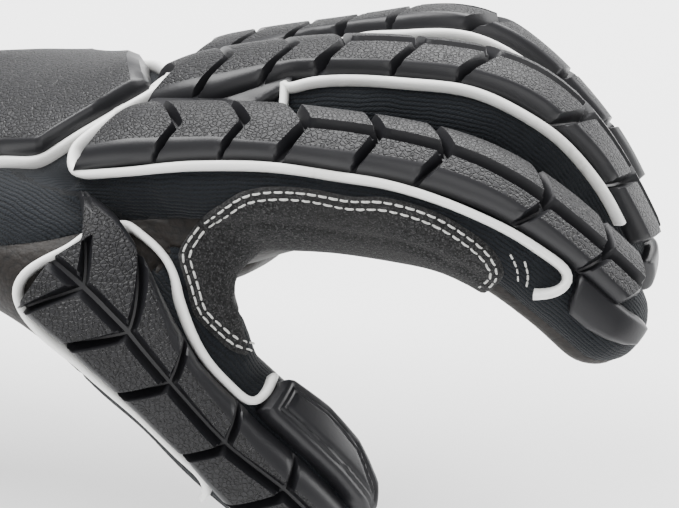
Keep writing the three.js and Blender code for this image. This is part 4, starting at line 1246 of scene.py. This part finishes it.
bindingSewing = {"places": (2.2, 6.4), "pitch": 2.6, "lift": 0.02, "length": 2.0, "thick": 0.42, "seed": 9}
bindingRows = []
for x in bindingSewing["places"]:
    at, angle = np.full(200, x / hand["length"]), np.arange(200) * 1.8
    points = onHand(at, angle, 1.3)
    normals = unit(onHand(at, angle, 2) - points)
    bindingRows.append(stitchPlaces(points, normals, bindingSewing, closed=True))
bindingStitches = stitchPiece("binding_stitches", bindingRows, darkThread, bindingSewing)

# ---- pieces to materials and nodes
print("stage: pieces")
digitNames = ("index", "middle", "ring", "little", "thumb")
pieceRows = [
    (knitShell, knit, "knit", ["cuff", "hand_back"] + [n + "_back" for n in digitNames]),
    (leatherShell, leather, "leather", ["hand_palm"] + [n + "_palm" for n in digitNames]),
    (handGuard, rubber, "rubber", ["hand_guard"]),
    (thumbGuard, rubber, "rubber", ["thumb_guard"]),
    (backPad, rubber, "rubber", ["back_pad"]),
    (edgeLines, line, "edge_line", ["hand_guard_edge", "index_fork_edge", "middle_fork_edge",
                                    "ring_fork_edge", "thumb_guard_edge", "back_pad_edge"]),
    (saddlePatch, felt, "felt", ["saddle_patch"]),
    (palmPad, leather, "leather", ["palm_pad"]),
    (binding, leather, "leather", ["cuff_binding"]),
    (saddleStitches, whiteThread, None, []),
    (indexStitches, whiteThread, None, []),
    (bindingStitches, darkThread, None, []),
]
for thing, material, slotName, nodes in pieceRows:
    painted(thing, material)
    thing.data.name = thing.name
    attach(thing, "root")
    if nodes:
        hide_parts(*nodes)
for thing in (handGuard, thumbGuard, backPad):
    thing.data.set_sharp_from_angle(angle=math.radians(38))

# ---- floor, light and camera
print("stage: light")
floorShape = {"size": 8.0, "drop": 0.03}
low = min(v.co.z for thing in (knitShell, leatherShell) for v in thing.data.vertices)
half = floorShape["size"] / 2
floorMesh = bpy.data.meshes.new("floor")
corners = [(-half, -half, 0), (half, -half, 0), (half, half, 0), (-half, half, 0)]
floorMesh.from_pydata(corners, [], [(0, 1, 2, 3)])
floor = bpy.data.objects.new("floor", floorMesh)
floor.location.z = low - floorShape["drop"]
scene.collection.objects.link(floor)
floorMaterial, floorNodes, floorShader, floorPlace = startMaterial("pale floor", {"Roughness": 0.9})
tone = ranged(floorNodes, noise(floorNodes, floorPlace, 3.0, 2.0), 0.3, 0.7)
pale = mixed(floorNodes, tone, (0.93, 0.93, 0.93), (0.96, 0.96, 0.96))
floorNodes.links.new(pale, floorShader.inputs["Base Color"])
floorMesh.materials.append(floorMaterial)

world = bpy.data.worlds.new("studio")
world.use_nodes = True
world.node_tree.nodes["Background"].inputs["Color"].default_value = (1.0, 1.0, 1.0, 1.0)
world.node_tree.nodes["Background"].inputs["Strength"].default_value = 0.4
scene.world = world

target = np.array((168.0, -33.0, 18.0)) / 1000
cameraView = {"turn": 12.0, "rise": 33.0, "distance": 0.515, "lens": 120.0, "sensor": 36.0}
turn, rise = math.radians(cameraView["turn"]), math.radians(cameraView["rise"])
back = np.array((math.sin(turn) * math.cos(rise), -math.cos(turn) * math.cos(rise), math.sin(rise)))
right = np.array((math.cos(turn), math.sin(turn), 0.0))
above = np.cross(back, right)

lamps = [  # place as shares of right, above and back from the target, then size and power
    ("key", (-0.5, 0.75, 0.35), 0.55, 20.0),
    ("top", (0.25, 1.0, -0.15), 0.9, 34.0),
    ("rim", (0.75, 0.25, -0.1), 0.5, 6.0),
    ("fill", (0.05, -0.1, 1.0), 0.8, 6.0),
]
for name, (x, y, z), size, power in lamps:
    light = bpy.data.lights.new(name, "AREA")
    light.shape, light.size, light.energy = "SQUARE", size, power
    lamp = bpy.data.objects.new(name, light)
    spot = Vector(target + right * x + above * y + back * z)
    lamp.location = spot
    lamp.rotation_mode = "QUATERNION"
    lamp.rotation_quaternion = (spot - Vector(target)).to_track_quat("Z", "Y")
    scene.collection.objects.link(lamp)

lens = bpy.data.cameras.new("camera")
lens.lens, lens.sensor_width = cameraView["lens"], cameraView["sensor"]
lens.clip_start, lens.clip_end = 0.01, 50
camera = bpy.data.objects.new("camera", lens)
camera.location = Vector(target + back * cameraView["distance"])
camera.rotation_mode = "QUATERNION"
camera.rotation_quaternion = (-Vector(back)).to_track_quat("-Z", "Y")
scene.collection.objects.link(camera)
scene.camera = camera
